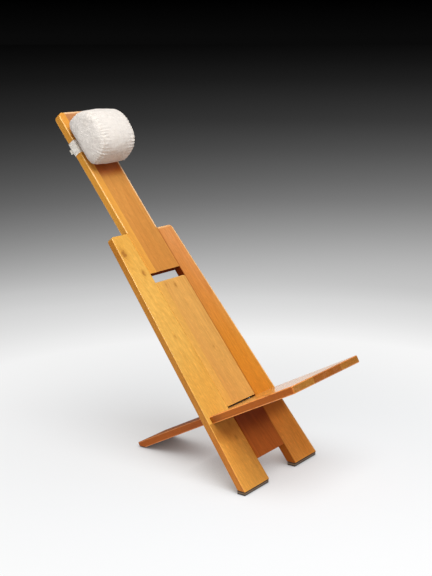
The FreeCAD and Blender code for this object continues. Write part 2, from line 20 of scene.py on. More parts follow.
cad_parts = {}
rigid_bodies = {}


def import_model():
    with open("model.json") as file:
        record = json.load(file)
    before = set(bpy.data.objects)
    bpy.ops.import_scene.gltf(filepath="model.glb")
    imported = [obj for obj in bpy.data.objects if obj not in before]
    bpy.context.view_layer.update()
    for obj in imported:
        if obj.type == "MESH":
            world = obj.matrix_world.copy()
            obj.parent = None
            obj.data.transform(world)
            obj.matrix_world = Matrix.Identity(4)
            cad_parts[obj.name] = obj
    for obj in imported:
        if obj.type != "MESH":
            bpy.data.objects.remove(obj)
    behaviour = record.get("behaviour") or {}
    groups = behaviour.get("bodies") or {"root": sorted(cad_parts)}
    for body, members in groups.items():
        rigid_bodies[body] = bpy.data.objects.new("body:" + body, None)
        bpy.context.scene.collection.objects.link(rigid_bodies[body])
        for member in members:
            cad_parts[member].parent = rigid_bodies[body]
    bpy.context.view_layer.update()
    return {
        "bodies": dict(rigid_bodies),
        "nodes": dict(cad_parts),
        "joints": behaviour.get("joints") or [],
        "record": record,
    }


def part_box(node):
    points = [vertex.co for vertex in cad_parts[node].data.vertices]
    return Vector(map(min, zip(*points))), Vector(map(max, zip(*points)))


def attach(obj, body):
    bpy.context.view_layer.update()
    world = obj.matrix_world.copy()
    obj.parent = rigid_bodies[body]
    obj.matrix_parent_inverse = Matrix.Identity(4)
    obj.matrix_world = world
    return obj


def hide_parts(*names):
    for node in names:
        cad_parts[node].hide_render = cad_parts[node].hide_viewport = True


log = logging.getLogger("plank_chair")

Colour = tuple[float, float, float]
Number = Union["Wire", float]

MM = 0.001
DOWN = Vector((0.0, 0.0, -1.0))
SIDEWAYS = Vector((1.0, 0.0, 0.0))
WHITE = (1.0, 1.0, 1.0)


class Side(Enum):
    """The sitter's right or left, as the sign of x."""

    RIGHT = -1
    LEFT = 1


def sheet_colour(code: str) -> Colour:
    """Turns an RRGGBB colour code into the linear values that shaders use.

    Args:
        code: six hexadecimal digits.

    Returns:
        Linear red, green and blue.
    """
    shares = [int(code[i : i + 2], 16) / 255 for i in (0, 2, 4)]
    red, green, blue = (s / 12.92 if s <= 0.04045 else ((s + 0.055) / 1.055) ** 2.4 for s in shares)
    return red, green, blue


def _operator(operation: str, swapped: bool = False) -> Callable[["Wire", Number], "Wire"]:
    """A Python operator that adds one Math node, with its two values swapped where asked."""

    def act(wire: "Wire", other: Number) -> "Wire":
        """Adds the Math node."""
        return wire.graph.maths(operation, *((other, wire) if swapped else (wire, other)))

    return act


@dataclass(frozen=True, eq=False)
class Wire:
    """One output socket of a shader node, on which Python's operators add Math nodes."""

    graph: "Graph"
    socket: NodeSocket

    __add__ = __radd__ = _operator("ADD")
    __mul__ = __rmul__ = _operator("MULTIPLY")
    __sub__, __rsub__ = _operator("SUBTRACT"), _operator("SUBTRACT", swapped=True)
    __truediv__, __rtruediv__ = _operator("DIVIDE"), _operator("DIVIDE", swapped=True)

    def __abs__(self) -> "Wire":
        """Drops the sign."""
        return self.graph.maths("ABSOLUTE", self)


class Graph:
    """The nodes of a material or of the world, under construction."""

    def __init__(self, owner: Material | World) -> None:
        """Starts from no nodes."""
        owner.use_nodes = True
        self.owner = owner
        self.tree = owner.node_tree
        self.tree.nodes.clear()

    @classmethod
    def of(cls, name: str) -> "Graph":
        """The graph of a new material."""
        return cls(bpy.data.materials.new(name))

    def node(self, kind: str, sockets: dict | None = None, **settings: object) -> Node:
        """Adds a node.

        Args:
            kind: the node's type without its ShaderNode prefix.
            sockets: input names or numbers to values or wires.
            settings: its own settings, set before its sockets are filled.

        Returns:
            The new node.
        """
        made = self.tree.nodes.new("ShaderNode" + kind)
        for name, value in settings.items():
            setattr(made, name, value)
        for name, value in (sockets or {}).items():
            self._feed(made.inputs[name], value)
        return made

    def _feed(self, socket: NodeSocket, value: object) -> None:
        """Links a wire to the socket, or sets its value."""
        if isinstance(value, Wire):
            self.tree.links.new(value.socket, socket)
        elif socket.type == "RGBA":
            socket.default_value = (*value, 1.0)
        else:
            socket.default_value = value

    def add(self, kind: str, sockets: dict | None = None, output: int | str = 0, **settings: object) -> Wire:
        """Adds a node, as above, and returns the wire that leaves one of its outputs."""
        return Wire(self, self.node(kind, sockets, **settings).outputs[output])

    def maths(self, operation: str, *values: Number) -> Wire:
        """One Math node on up to three values."""
        return self.add("Math", dict(enumerate(values)), operation=operation)

    def least(self, *values: Number) -> Wire:
        """The smaller of two values."""
        return self.maths("MINIMUM", *values)

    def most(self, *values: Number) -> Wire:
        """The larger of two values."""
        return self.maths("MAXIMUM", *values)

    def vector(self, operation: str, *values: object) -> Wire:
        """One Vector Math node on vectors."""
        return self.add("VectorMath", dict(enumerate(values)), operation=operation)

    def dot(self, one: object, other: object) -> Wire:
        """The dot product of two vectors."""
        return self.add("VectorMath", {0: one, 1: other}, "Value", operation="DOT_PRODUCT")

    def brightened(self, colour: object, factor: Number) -> Wire:
        """A colour times a number."""
        return self.add("VectorMath", {0: colour, "Scale": factor}, operation="SCALE")

    def split(self, vector: Wire) -> tuple[Wire, Wire, Wire]:
        """A vector's three parts."""
        x, y, z = (Wire(self, output) for output in self.node("SeparateXYZ", {0: vector}).outputs)
        return x, y, z

    def joined(self, x: Number, y: Number, z: Number) -> Wire:
        """A vector made of three numbers."""
        return self.add("CombineXYZ", {0: x, 1: y, 2: z})

    def mixed(self, factor: Number, one: object, other: object) -> Wire:
        """Two colours mixed."""
        return self.add("Mix", {0: factor, 6: one, 7: other}, 2, data_type="RGBA")

    def tinted(self, factor: Number, colour: Wire, shares: Colour) -> Wire:
        """A colour mixed with itself times some shares."""
        return self.mixed(factor, colour, self.vector("MULTIPLY", colour, shares))

    def fade(self, value: Number, start: float, end: float) -> Wire:
        """A smooth change from 0 at start to 1 at end; start may be the larger."""
        spans = (start, end, 0.0, 1.0) if start < end else (end, start, 1.0, 0.0)
        return self.add("MapRange", {0: value, **dict(enumerate(spans, 1))}, interpolation_type="SMOOTHSTEP")

    def place(self) -> Wire:
        """The shaded point, in the chair's frame."""
        return self.add("TexCoord", None, "Object")

    def normal(self) -> Wire:
        """Which way the surface faces."""
        return self.add("NewGeometry", None, "Normal")

    def cloud(
        self,
        place: Wire,
        scale: float,
        detail: float = 2.0,
        shares: Colour | None = None,
        shift: float = 0.0,
        output: int = 0,
    ) -> Wire:
        """Noise over a place.

        Args:
            place: where it is looked up.
            scale: its swings per metre.
            detail: how many finer layers it has.
            shares: how the place is squeezed along each axis, if it is.
            shift: how far it is shifted then, so that two patterns differ.
            output: 0 for a number round 0.5, 1 for a colour.

        Returns:
            The noise.
        """
        if shares is not None:
            place = self.vector("MULTIPLY", place, shares)
            place = self.vector("ADD", place, (shift, shift * 0.7, shift * 1.3))
        return self.add("TexNoise", {"Vector": place, "Scale": scale, "Detail": detail}, output)

    def bumped(self, height: Wire, distance: float, strength: float = 1.0) -> Wire:
        """A normal from a height, with its full swing in metres."""
        return self.add("Bump", {"Height": height, "Distance": distance, "Strength": strength})

    def blend(self, factor: Number, one: Wire, other: Wire) -> Wire:
        """Two surfaces mixed."""
        return self.add("MixShader", {0: factor, 1: one, 2: other})

    def finish(
        self, colour: Wire, rough: Wire, normal: Wire, others: dict | None = None, dull: Wire | None = None
    ) -> Material:
        """Ends the material in one Principled surface.

        Args:
            colour: its base colour.
            rough: its roughness.
            normal: its bumped normal.
            others: more of its inputs.
            dull: where a plain matt surface of the same colour shows instead.

        Returns:
            The finished material.
        """
        sockets = {"Base Color": colour, "Roughness": rough, "Normal": normal, **(others or {})}
        surface = self.add("BsdfPrincipled", sockets)
        if dull is not None:
            surface = self.blend(dull, surface, self.add("BsdfDiffuse", {"Color": colour}))
        self.node("OutputMaterial", {"Surface": surface})
        return self.owner


@dataclass(frozen=True)
class Leaning:
    """A leaning frame on the chair, turned about the x axis."""

    start: Vector
    turn: float

    @property
    def along(self) -> Vector:
        """The direction of the grain."""
        return Vector((0.0, math.cos(self.turn), math.sin(self.turn)))

    @property
    def out(self) -> Vector:
        """The direction out of the face."""
        return Vector((0.0, -math.sin(self.turn), math.cos(self.turn)))

    def at(self, across: float, along: float, out: float) -> Vector:
        """The chair's coordinates of a point of this frame."""
        return self.start + Vector((across, 0.0, 0.0)) + self.along * along + self.out * out

    def place(self, point: Vector) -> Vector:
        """This frame's coordinates of a point of the chair."""
        rest = point - self.start
        return Vector((rest.x, rest.dot(self.along), rest.dot(self.out)))

    def wire(self, graph: Graph) -> Wire:
        """The shaded point in this frame, from the Object coordinates."""
        sockets = {"Vector": graph.place(), "Location": self.start, "Rotation": (self.turn, 0.0, 0.0)}
        return graph.add("Mapping", sockets, vector_type="TEXTURE")


@dataclass(frozen=True)
class Chair:
    """The driving sizes that the dressing shares with the boards."""

    lean: float = math.radians(38.0)
    rise: float = math.radians(27.9)
    pad_depth: float = 12.0 * MM
    pad_inset: float = 1.0 * MM
    seat_reach: float = 244.4 * MM
    hand_slot_low: float = 668.6 * MM
    hand_slot_high: float = 697.6 * MM
    shoulder_reach: float = 838.6 * MM
    neck_reach: float = 1272.6 * MM
    rail_thickness: float = 22.0 * MM
    proud: float = 2.0 * MM

    @property
    def foot_line(self) -> float:
        """Where the rails' front faces would meet the floor, from the pad under a foot."""
        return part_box("foot_felt_right")[0].y - self.pad_depth * math.tan(self.lean) - self.pad_inset

    @property
    def back(self) -> Leaning:
        """The back's frame: along from the floor, out of the rails' fronts."""
        return Leaning(Vector((0.0, self.foot_line, 0.0)), math.pi / 2 - self.lean)

    @property
    def seat(self) -> Leaning:
        """The seat's frame: along backwards from the back's front, out of the top face."""
        return Leaning(self.back.at(0.0, self.seat_reach, 0.0), -self.rise)


@dataclass(frozen=True)
class Outline:
    """A board's scuffed edges, painted with a highlight: half its width where along is 0, how that changes, its ends
    and faces.

    Inner is where the gap between two side boards begins, and crease is where the seat's underside meets
    the rails. A board's sides are free, and so scuffed and given a painted highlight, from free_from on.
    """

    half: float
    taper: float
    low_end: float
    high_end: float
    front: float
    rear: float
    inner: float = 0.0
    crease: float = -1.0
    free_from: float = -1.0


@dataclass(frozen=True)
class Knot:
    """A knot or a mark in a board's face."""

    across: float
    along: float
    radius: float
    depth: float = 0.6


@dataclass(frozen=True)
class Spot:
    """The shaded point of a board: its place in the board's frame, and where the upper face is."""

    graph: Graph
    frame: Leaning
    outline: Outline
    place: Wire
    across: Wire
    along: Wire
    out: Wire
    upwards: Wire

    @classmethod
    def on(cls, graph: Graph, frame: Leaning, outline: Outline) -> "Spot":
        """The shaded point of a board that lies in that frame."""
        place = frame.wire(graph)
        upwards = graph.fade(graph.dot(graph.normal(), frame.out), 0.8, 0.95)
        return cls(graph, frame, outline, place, *graph.split(place), upwards)

    @property
    def nowhere(self) -> Wire:
        """A share of 0, for what a board doesn't have."""
        return self.across * 0.0

    def between(self, start: float, start_full: float, end_full: float, end: float) -> Wire:
        """A stretch of the board's length that fades out at both ends."""
        return self.graph.fade(self.along, start, start_full) * self.graph.fade(self.along, end, end_full)


@dataclass(frozen=True)
class Grain:
    """The wood's figure at a spot: growth rings, knots, and fibres of several sizes."""

    late: Wire
    core: Wire
    halo: Wire
    fibre: Wire
    streak: Wire
    patch: Wire
    ripple: Wire
    dark_dash: Wire
    pale_dash: Wire


class Hollow(Enum):
    """Dark colours, as shares of the wood's own dark one: a knot's core, a seam, and painted shade in slots and
    joints.
    """

    KNOT = (0.42, 0.25, 0.20)
    SLOT = (0.38, 0.20, 0.30)
    HAND_SLOT = (0.22, 0.09, 0.06)
    RAIL_STEP = (0.50, 0.35, 0.25)
    SEAT_MARK = (0.12, 0.10, 0.10)


@dataclass(frozen=True)
class BoardFinish:
    """Varnished solid wood, with rings round a heart that lies outside the board.

    A span is where a change along the board starts and where it is full.

    Attributes:
        name: the material's name.
        pale: the early wood's colour; dark is the late wood's, and glow that of warmer patches.
        heart_across: where the tree's middle is across the board; heart_behind is how far behind its face.
        drift: how much the heart wanders per metre of board, which draws the rings into long arches.
        contrast: how dark the late wood is; figure and flecks do the same for ripples and short flecks.
        stripe_edge: where a stripe of another colour starts, across the board.
        end_flecks: how pale the flecks of the end grain are; end_shade and end_tint change its colour.
        step_shade: how dark the painted shadow on the rail beside a proud board is, and seam_shade how dark the seam
            is.
        slot_end: whether the low end is the hand slot's side.
        upper: the colour that the pale wood takes at the upper end, and lower the one at the lower end.
        covered: the stretch under the headrest, darker and redder with its painted shadow.
        polished: the colour of a painted reflection on the seat's upper face in front of the back, whose bump is
            softened.
        rubbed: the seat's stretch where it enters the back, darkened with painted shade; its tail is matt from
            matt_from.
        rub: how wide the scuffed edges with a painted highlight are; face_rub is how
            wide the painted highlight is on the upper face alone.
        rub_core: the share of that width where it is palest; worn_lift, how pale it gets.
        hand_slot: the span from which a rail's inner side is the hand slot's end, darkened with painted shade.
        corner_reach: how far under the seat the painted shade on the legs starts, and is full.
    """

    name: str
    pale: Colour
    dark: Colour
    glow: Colour
    heart_across: float
    heart_behind: float
    drift: float = 0.03
    ring_width: float = 4.2 * MM
    contrast: float = 0.34
    figure: float = 0.12
    flecks: float = 0.22
    seed: float = 0.0
    knots: tuple[Knot, ...] = ()
    stripe_edge: float | None = None
    stripe: Colour = WHITE
    end_flecks: float = 0.25
    end_shade: float = 0.3
    side_tint: Colour = (0.75, 0.75, 0.75)
    step_shade: float = 0.3
    seam_shade: float = 0.5
    slot_end: bool = False
    upper: Colour | None = None
    upper_from: tuple[float, float] = (0.35, 0.80)
    lower: Colour | None = None
    lower_from: tuple[float, float] = (0.24, 0.17)
    covered: tuple[float, float] | None = None
    covered_tint: Colour = (0.64, 0.34, 0.22)
    covered_edges: tuple[float, float] = (34.0 * MM, 90.0 * MM)
    polished: Colour | None = None
    polish_end: float = 30.0 * MM
    rubbed: tuple[float, float] | None = None
    matt_from: float | None = None
    end_tint: Colour = WHITE
    rub: float = 4.0 * MM
    face_rub: float = 0.0
    rub_core: float = 0.38
    worn_lift: float = 0.08
    roughness: float = 0.45
    clear_coat: float = 0.8
    hand_slot: tuple[float, float] = (0.55, 0.60)
    corner_shade: float = 0.62
    corner_reach: tuple[float, float] = (78.0 * MM, 30.0 * MM)

    def build(self, frame: Leaning, outline: Outline) -> Material:
        """Makes the material.

        Args:
            frame: the board's leaning frame.
            outline: its edges, where it is scuffed and painted with a highlight.

        Returns:
            The finished material.
        """
        graph = Graph.of(self.name)
        spot = Spot.on(graph, frame, outline)
        grain = self._grain(spot)
        ends, insides, sides = self._cut_faces(spot)
        wear = self._wear(spot)
        colour = self._aged(spot, self._figured(spot, grain))
        colour = graph.mixed(grain.halo * 0.35, colour, self.dark)
        colour = graph.mixed(grain.core, colour, self._deep(Hollow.KNOT))
        colour, fleck = self._end_grain(spot, colour, ends)
        # Painted reflection: the seat's upper face made pale where the lamps glare on it.
        if self.polished is not None:
            on_seat = spot.upwards * graph.fade(spot.along, self.polish_end, 0.0)
            colour = graph.mixed(on_seat * 0.8, colour, self.polished)
        # Painted shade: the sides darker and redder.
        colour = graph.tinted(sides, colour, self.side_tint)
        # The edges paler where scuffed, with a painted highlight on them.
        worn = tuple(min(1.0, share * 1.35 + self.worn_lift) for share in self.pale)
        colour = graph.mixed(wear * 0.8, colour, worn)
        # Painted shade: faces inside the slots and between the legs darkened, darkest at the hand slot.
        colour = graph.mixed(insides * 0.8, colour, self._deep(Hollow.SLOT))
        slot = graph.fade(spot.along, *self.hand_slot) * insides
        colour = graph.mixed(slot * 0.9, colour, self._deep(Hollow.HAND_SLOT))
        colour, seam = self._met(spot, colour, insides)

        cut = graph.most(insides, ends * 0.6)
        bare = graph.most(cut, graph.most(sides * 0.8, seam * 0.95))
        height = grain.fibre * 0.55 + grain.streak * 0.3 - grain.late * 0.2 - grain.dark_dash * 0.5 - fleck * 0.6
        if self.polished is not None:
            height = height * (1.0 - spot.upwards * 0.85)
        rough = self.roughness + (grain.streak - 0.5) * 0.16 + wear * 0.10 + ends * 0.25
        rough = rough + grain.core * 0.1 + insides * 0.4 + seam * 0.4
        coat = self.clear_coat - bare * self.clear_coat
        gloss = {"Coat Weight": coat, "Coat Roughness": 0.13, "Specular IOR Level": 0.15}
        dull = graph.most(insides, seam) * 0.9
        return graph.finish(colour, rough, graph.bumped(height, 0.2 * MM, 0.5), gloss, dull)

    def _deep(self, hollow: Hollow) -> Colour:
        """A dark colour from the wood's own dark one, for a knot's core, a seam and painted shade."""
        red, green, blue = (tone * share for tone, share in zip(self.dark, hollow.value))
        return red, green, blue

    def _grain(self, spot: Spot) -> Grain:
        """Lays the wood's figure out, each pattern drawn out along the grain."""
        graph, place, along, seed = spot.graph, spot.place, spot.along, self.seed
        sway = graph.cloud(place, 22.0, 2.0, (1.0, 0.6, 1.0), seed + 15.0) - 0.5
        slanted = graph.joined(spot.across + along * 0.25 + sway * 0.02, along * 0.34 + sway * 0.01, spot.out)
        dash = graph.cloud(slanted, 420.0, 2.0, (1.0, 0.45, 1.0), seed + 5.0)
        late, core, halo = self._rings(spot)
        return Grain(
            late,
            core,
            halo,
            fibre=graph.cloud(place, 850.0, 2.0, (1.0, 0.02, 1.0), seed),
            streak=graph.cloud(place, 120.0, 3.0, (1.0, 0.03, 1.0), seed + 3.0),
            patch=graph.cloud(place, 9.0, 3.0, (1.0, 0.3, 1.0), seed + 7.0),
            ripple=graph.cloud(slanted, 130.0, 4.0, (1.0, 1.0, 1.0), seed + 11.0),
            dark_dash=graph.fade(dash, 0.58, 0.70),
            pale_dash=graph.fade(dash, 0.42, 0.30),
        )

    def _rings(self, spot: Spot) -> tuple[Wire, Wire, Wire]:
        """The growth rings.

        Returns:
            How dark the ring is, where a knot's core is, and the darker wood round it.
        """
        graph, across, along = spot.graph, spot.across, spot.along
        bend = graph.cloud(spot.place, 9.0, 2.0, (1.0, 0.14, 1.0), self.seed, output=1)
        bend_across, bend_out, _ = graph.split(bend)
        sideways = across - self.heart_across + (bend_across - 0.5) * 0.022 + along * self.drift
        inwards = spot.out + self.heart_behind + (bend_out - 0.5) * 0.022 + along * (self.drift * 0.6)
        reach = graph.maths("SQRT", sideways * sideways + inwards * inwards)
        wobble = (graph.cloud(spot.place, 130.0, 3.0) - 0.5) * 2.6
        core = halo = spot.nowhere
        for knot in self.knots:
            off_across = (across - knot.across) / knot.radius
            off_along = (along - knot.along) / (knot.radius * 1.7)
            distance = off_across * off_across + off_along * off_along
            reach = reach + (knot.radius * 1.1) / (distance * 0.35 + 1.0)
            core = graph.fade(distance + wobble, 1.6, 0.0) * knot.depth + core
            halo = graph.fade(distance + wobble * 2.0, 7.0, 0.5) + halo
        phase = reach / self.ring_width
        rise = graph.maths("FRACT", phase)
        ring = graph.maths("FLOOR", phase)
        tone = graph.add("TexWhiteNoise", {"W": ring + self.seed}, noise_dimensions="1D")
        late = graph.fade(rise, 0.2, 0.84) * graph.fade(rise, 1.0, 0.88) * (tone * 0.75 + 0.25)
        return late, graph.least(core, 1.0), graph.least(halo, 1.0)

    def _figured(self, spot: Spot, grain: Grain) -> Wire:
        """The colour of planed wood: rings, warm patches, a stripe of sapwood, fibres and flecks."""
        graph = spot.graph
        colour = graph.mixed(grain.late * self.contrast, self.pale, self.dark)
        colour = graph.mixed(graph.fade(grain.patch, 0.38, 0.66) * 0.6, colour, self.glow)
        if self.stripe_edge is not None:
            wavy = spot.across + (grain.streak - 0.5) * (6.0 * MM)
            inside = graph.fade(wavy, self.stripe_edge + 4.0 * MM, self.stripe_edge - 4.0 * MM)
            colour = graph.mixed(inside * 0.7, colour, self.stripe)
        shade = 1.0 + (grain.streak - 0.5) * 0.30 + (grain.fibre - 0.5) * 0.20
        shade = shade + (grain.ripple - 0.5) * self.figure * 2.0
        colour = graph.brightened(colour, shade + grain.pale_dash * (self.flecks * 0.5))
        return graph.mixed(grain.dark_dash * self.flecks, colour, self.dark)

    def _aged(self, spot: Spot, colour: Wire) -> Wire:
        """The colour tinted towards the board's ends, grain kept, and darkened by the headrest's painted shadow."""
        for towards, span in ((self.upper, self.upper_from), (self.lower, self.lower_from)):
            if towards is not None:
                ratio = tuple(after / before * 1.06 for after, before in zip(towards, self.pale))
                colour = spot.graph.tinted(spot.graph.fade(spot.along, *span), colour, ratio)
        # Painted shadow of the headrest on the neck's face, darker and redder.
        if self.covered is not None:
            (start, end), (rise, fall) = self.covered, self.covered_edges
            hidden = spot.between(start, start + rise, end, end + fall)
            colour = spot.graph.tinted(hidden * spot.upwards, colour, self.covered_tint)
        return colour

    def _cut_faces(self, spot: Spot) -> tuple[Wire, Wire, Wire]:
        """The faces that were cut rather than planed.

        Returns:
            Where the board is cut across its grain, where it faces a slot or the gap between the legs, and
            where its outer side is.
        """
        graph, outline = spot.graph, spot.outline
        ends = graph.fade(abs(graph.dot(graph.normal(), spot.frame.along)), 0.7, 0.92)
        sides = graph.fade(abs(graph.dot(graph.normal(), SIDEWAYS)), 0.75, 0.95)
        insides = spot.nowhere
        if outline.inner:
            facing_in = graph.fade(abs(spot.across), outline.inner + 1.6 * MM, outline.inner + 0.4 * MM)
            insides, sides = sides * facing_in, sides * (1.0 - facing_in)
        if self.slot_end:
            insides = ends * graph.fade(spot.along, outline.low_end + 4.0 * MM, outline.low_end + 1.0 * MM)
        return ends, insides, sides

    def _end_grain(self, spot: Spot, colour: Wire, ends: Wire) -> tuple[Wire, Wire]:
        """Darker end grain with pale, dry flecks.

        Returns:
            The colour, and where the flecks are.
        """
        graph = spot.graph
        speck = graph.cloud(spot.place, 300.0, 4.0, (0.7, 1.0, 1.3), self.seed + 2.0)
        patchy = graph.cloud(spot.place, 35.0, 2.0, (1.0, 1.0, 1.0), self.seed + 9.0)
        fleck = graph.fade(speck + (patchy - 0.5) * 0.6, 0.48, 0.72) * ends
        dulled = graph.tinted(ends, graph.brightened(colour, 1.0 - ends * self.end_shade), self.end_tint)
        pale = tuple(min(1.0, share + 0.16) for share in self.pale)
        return graph.mixed(fleck * self.end_flecks, dulled, pale), fleck

    def _wear(self, spot: Spot) -> Wire:
        """Scuffed edges with a painted highlight: near a face and near a side or an end at once."""
        graph, outline, along = spot.graph, spot.outline, spot.along
        to_side = abs(outline.half + along * outline.taper - abs(spot.across))
        to_side = to_side + graph.fade(along, outline.free_from, outline.free_from - 4.0 * MM) * 0.1
        to_end = abs(along - outline.high_end)
        if not self.slot_end:
            to_end = graph.least(to_end, abs(along - outline.low_end))
        to_face = graph.least(abs(spot.out - outline.front), abs(spot.out - outline.rear))
        corner = graph.most(graph.least(to_side, to_end), to_face)
        near = graph.fade(corner, self.rub, self.rub * self.rub_core)
        # A wider painted highlight along the edges of the upper face.
        if self.face_rub:
            on_face = graph.fade(corner, self.face_rub, self.face_rub * self.rub_core)
            near = graph.most(near, on_face * spot.upwards)
        return near * graph.fade(graph.cloud(spot.place, 45.0, 4.0), 0.22, 0.52)

    def _met(self, spot: Spot, colour: Wire, insides: Wire) -> tuple[Wire, Wire]:
        """Painted shade, a dark seam, and lost varnish where the board meets another.

        Returns:
            The colour, and where the varnish is lost.
        """
        graph, outline, across, along = spot.graph, spot.outline, spot.across, spot.along
        seam = spot.nowhere
        if outline.inner:
            # Painted shadow of the proud board on the rail, a dark seam in the joint, and painted shade on the legs
            # under the seat.
            past = abs(across) - outline.inner
            step = graph.fade(past, 8.5 * MM, 0.8 * MM)
            seam = graph.fade(abs(past), 2.2 * MM, 0.4 * MM)
            shade = (step * self.step_shade + seam * self.seam_shade) * (1.0 - insides)
            far, near = self.corner_reach
            crease = outline.crease
            corner = spot.between(crease - far, crease - near, crease, crease + 3.0 * MM)
            shade = graph.least(shade + corner * spot.upwards * self.corner_shade, 1.0)
            colour = graph.mixed(shade, colour, self._deep(Hollow.RAIL_STEP))
        elif outline.free_from > 0.0:
            # A dark seam where the sides meet the rails, deepened with painted shade on the sitter's left side.
            held = graph.fade(along, outline.free_from + 4.0 * MM, outline.free_from - 4.0 * MM)
            seam = graph.fade(abs(abs(across) - outline.half), 3.0 * MM, 1.2 * MM) * held
            one_side = graph.fade(across, -10.0 * MM, 10.0 * MM)
            colour = graph.brightened(colour, 1.0 - seam * (one_side * 0.2 + 0.05))
        # Painted shade: the seat's upper face darkened in the gap where it enters the back.
        if self.rubbed is not None:
            start, end = self.rubbed
            mark = spot.between(start - 3.0 * MM, start + 1.0 * MM, end - 4.0 * MM, end + 12.0 * MM)
            seam = mark * spot.upwards * graph.fade(abs(across), 74.0 * MM, 70.0 * MM)
            colour = graph.mixed(seam * 0.85, colour, self._deep(Hollow.SEAT_MARK))
        if self.matt_from is not None:
            tail = spot.upwards * graph.fade(along, self.matt_from, self.matt_from + 10.0 * MM)
            seam = graph.most(seam, tail * 0.7)
        return colour, seam


@dataclass(frozen=True)
class DowelFinish:
    """Plain turned wood, sealed inside the joints."""

    name: str = "DowelBeech"
    colour: Colour = sheet_colour("d9b48a")

    def build(self) -> Material:
        """Makes the material: fine lines round a plain colour."""
        graph = Graph.of(self.name)
        lines = graph.cloud(graph.place(), 900.0, 2.0, (0.03, 1.0, 1.0))
        colour = graph.brightened(self.colour, 0.85 + lines * 0.3)
        return graph.finish(colour, 0.55 + lines * 0.2, graph.bumped(lines, 0.1 * MM))


@dataclass(frozen=True)
class FeltFinish:
    """Pressed felt, darker towards the floor."""

    name: str = "FootFelt"
    clean: Colour = sheet_colour("83694f")
    dirty: Colour = sheet_colour("2e2620")
    dirt_height: float = 4.2 * MM

    def build(self) -> Material:
        """Makes the material: matted fibres, darker towards the floor."""
        graph = Graph.of(self.name)
        place = graph.place()
        _, _, height = graph.split(place)
        matted = graph.cloud(place, 900.0, 4.0)
        clumps = graph.cloud(place, 180.0, 3.0)
        edge = height + (clumps - 0.5) * (4.0 * MM)
        soiled = graph.fade(edge, self.dirt_height * 1.3, self.dirt_height * 0.7)
        colour = graph.brightened(graph.mixed(soiled, self.clean, self.dirty), 0.72 + matted * 0.38 + clumps * 0.18)
        normal = graph.bumped(matted * 0.6 + clumps * 0.4, 0.6 * MM)
        return graph.finish(colour, 0.88 + matted * 0.1, normal, {"Sheen Weight": 0.25})


@dataclass(frozen=True)
class BackingFinish:
    """The thin dark sheet between a foot's felt and the wood."""

    name: str = "PadBacking"
    colour: Colour = sheet_colour("2a1c12")
    dusty: Colour = sheet_colour("5e4936")

    def build(self) -> Material:
        """Makes the material: dull, faintly grained."""
        graph = Graph.of(self.name)
        grain = graph.cloud(graph.place(), 1100.0, 3.0)
        dust = graph.cloud(graph.place(), 90.0, 3.0)
        colour = graph.mixed(graph.fade(dust, 0.5, 0.75) * 0.35, self.colour, self.dusty)
        colour = graph.brightened(colour, 0.85 + grain * 0.3)
        return graph.finish(colour, 0.62 + dust * 0.2, graph.bumped(grain, 0.1 * MM))


@dataclass(frozen=True)
class ClothFinish:
    """Plain woven cloth on a piece's own UV map, which is in metres.

    Gather is how far from the middle the cloth is drawn into a seam, or 0.
    """

    name: str
    colour: Colour
    hollow: Colour
    thread: float = 1.1 * MM
    slub: float = 0.10
    bump: float = 0.35 * MM
    soiling: float = 0.0
    soil: Colour = sheet_colour("a98f74")
    gather: float = 0.0
    shadow: Colour = (0.70, 0.61, 0.55)

    def build(self) -> Material:
        """Makes the material: crossing threads, uneven yarn, a little soiling, and painted light and shade.

        Returns:
            The finished material.
        """
        graph = Graph.of(self.name)
        place = graph.place()
        flat = graph.add("UVMap", uv_map="Cloth")
        drift = graph.split(graph.cloud(flat, 60.0, 2.0, output=1))
        u, v = ((way + (sway - 0.5) * (1.2 * MM)) / self.thread for way, sway in zip(graph.split(flat)[:2], drift))
        weft, warp = (abs(graph.maths("SINE", way * math.pi)) for way in (u, v))
        over = abs(graph.maths("MODULO", graph.maths("FLOOR", u) + graph.maths("FLOOR", v), 2.0))
        weave = weft * over + warp * (1.0 - over)
        yarn_u = graph.cloud(graph.joined(u * 0.9, v * 0.045, 0.0), 1.0)
        yarn_v = graph.cloud(graph.joined(u * 0.045, v * 0.9, 4.0), 1.0)
        fuzz = graph.cloud(place, 420.0, 4.0)
        cloudy = graph.cloud(place, 26.0, 3.0)
        colour = graph.mixed(weave * 0.75 + 0.25, self.hollow, self.colour)
        shade = 1.0 + (yarn_u + yarn_v - 1.0) * self.slub * 2.0 + (fuzz - 0.5) * 0.16 + (cloudy - 0.5) * 0.10
        colour = graph.brightened(colour, shade)
        if self.soiling:
            soiled = graph.fade(cloudy + (fuzz - 0.5) * 0.3, 0.5, 0.8)
            colour = graph.mixed(soiled * self.soiling, colour, self.soil)
        height = weave * 0.6 + fuzz * 0.35 + (yarn_u + yarn_v) * 0.3
        if self.gather:
            across, _, _ = graph.split(place)
            drawn = graph.fade(abs(abs(across) - self.gather), 20.0 * MM, 2.0 * MM)
            crease = graph.cloud(place, 130.0, 3.0, (0.22, 1.0, 1.0)) - 0.5
            dimple = graph.cloud(place, 75.0, 3.0) - 0.5
            height = height + crease * (drawn * 7.5 + 0.8) + dimple * 5.0
            # Painted light and shade on the gathered creases and dimples.
            colour = graph.brightened(colour, 1.0 + crease * (drawn * 0.5 + 0.04) + dimple * 0.16)
            # Painted shade: the cloth darker where it faces down.
            under = graph.fade(graph.dot(graph.normal(), DOWN), -0.1, 0.85)
            colour = graph.tinted(under, colour, self.shadow)
        soft = {"Sheen Weight": 0.3, "Sheen Roughness": 0.5, "Specular IOR Level": 0.25}
        return graph.finish(colour, 0.86 + fuzz * 0.1, graph.bumped(height, self.bump), soft)


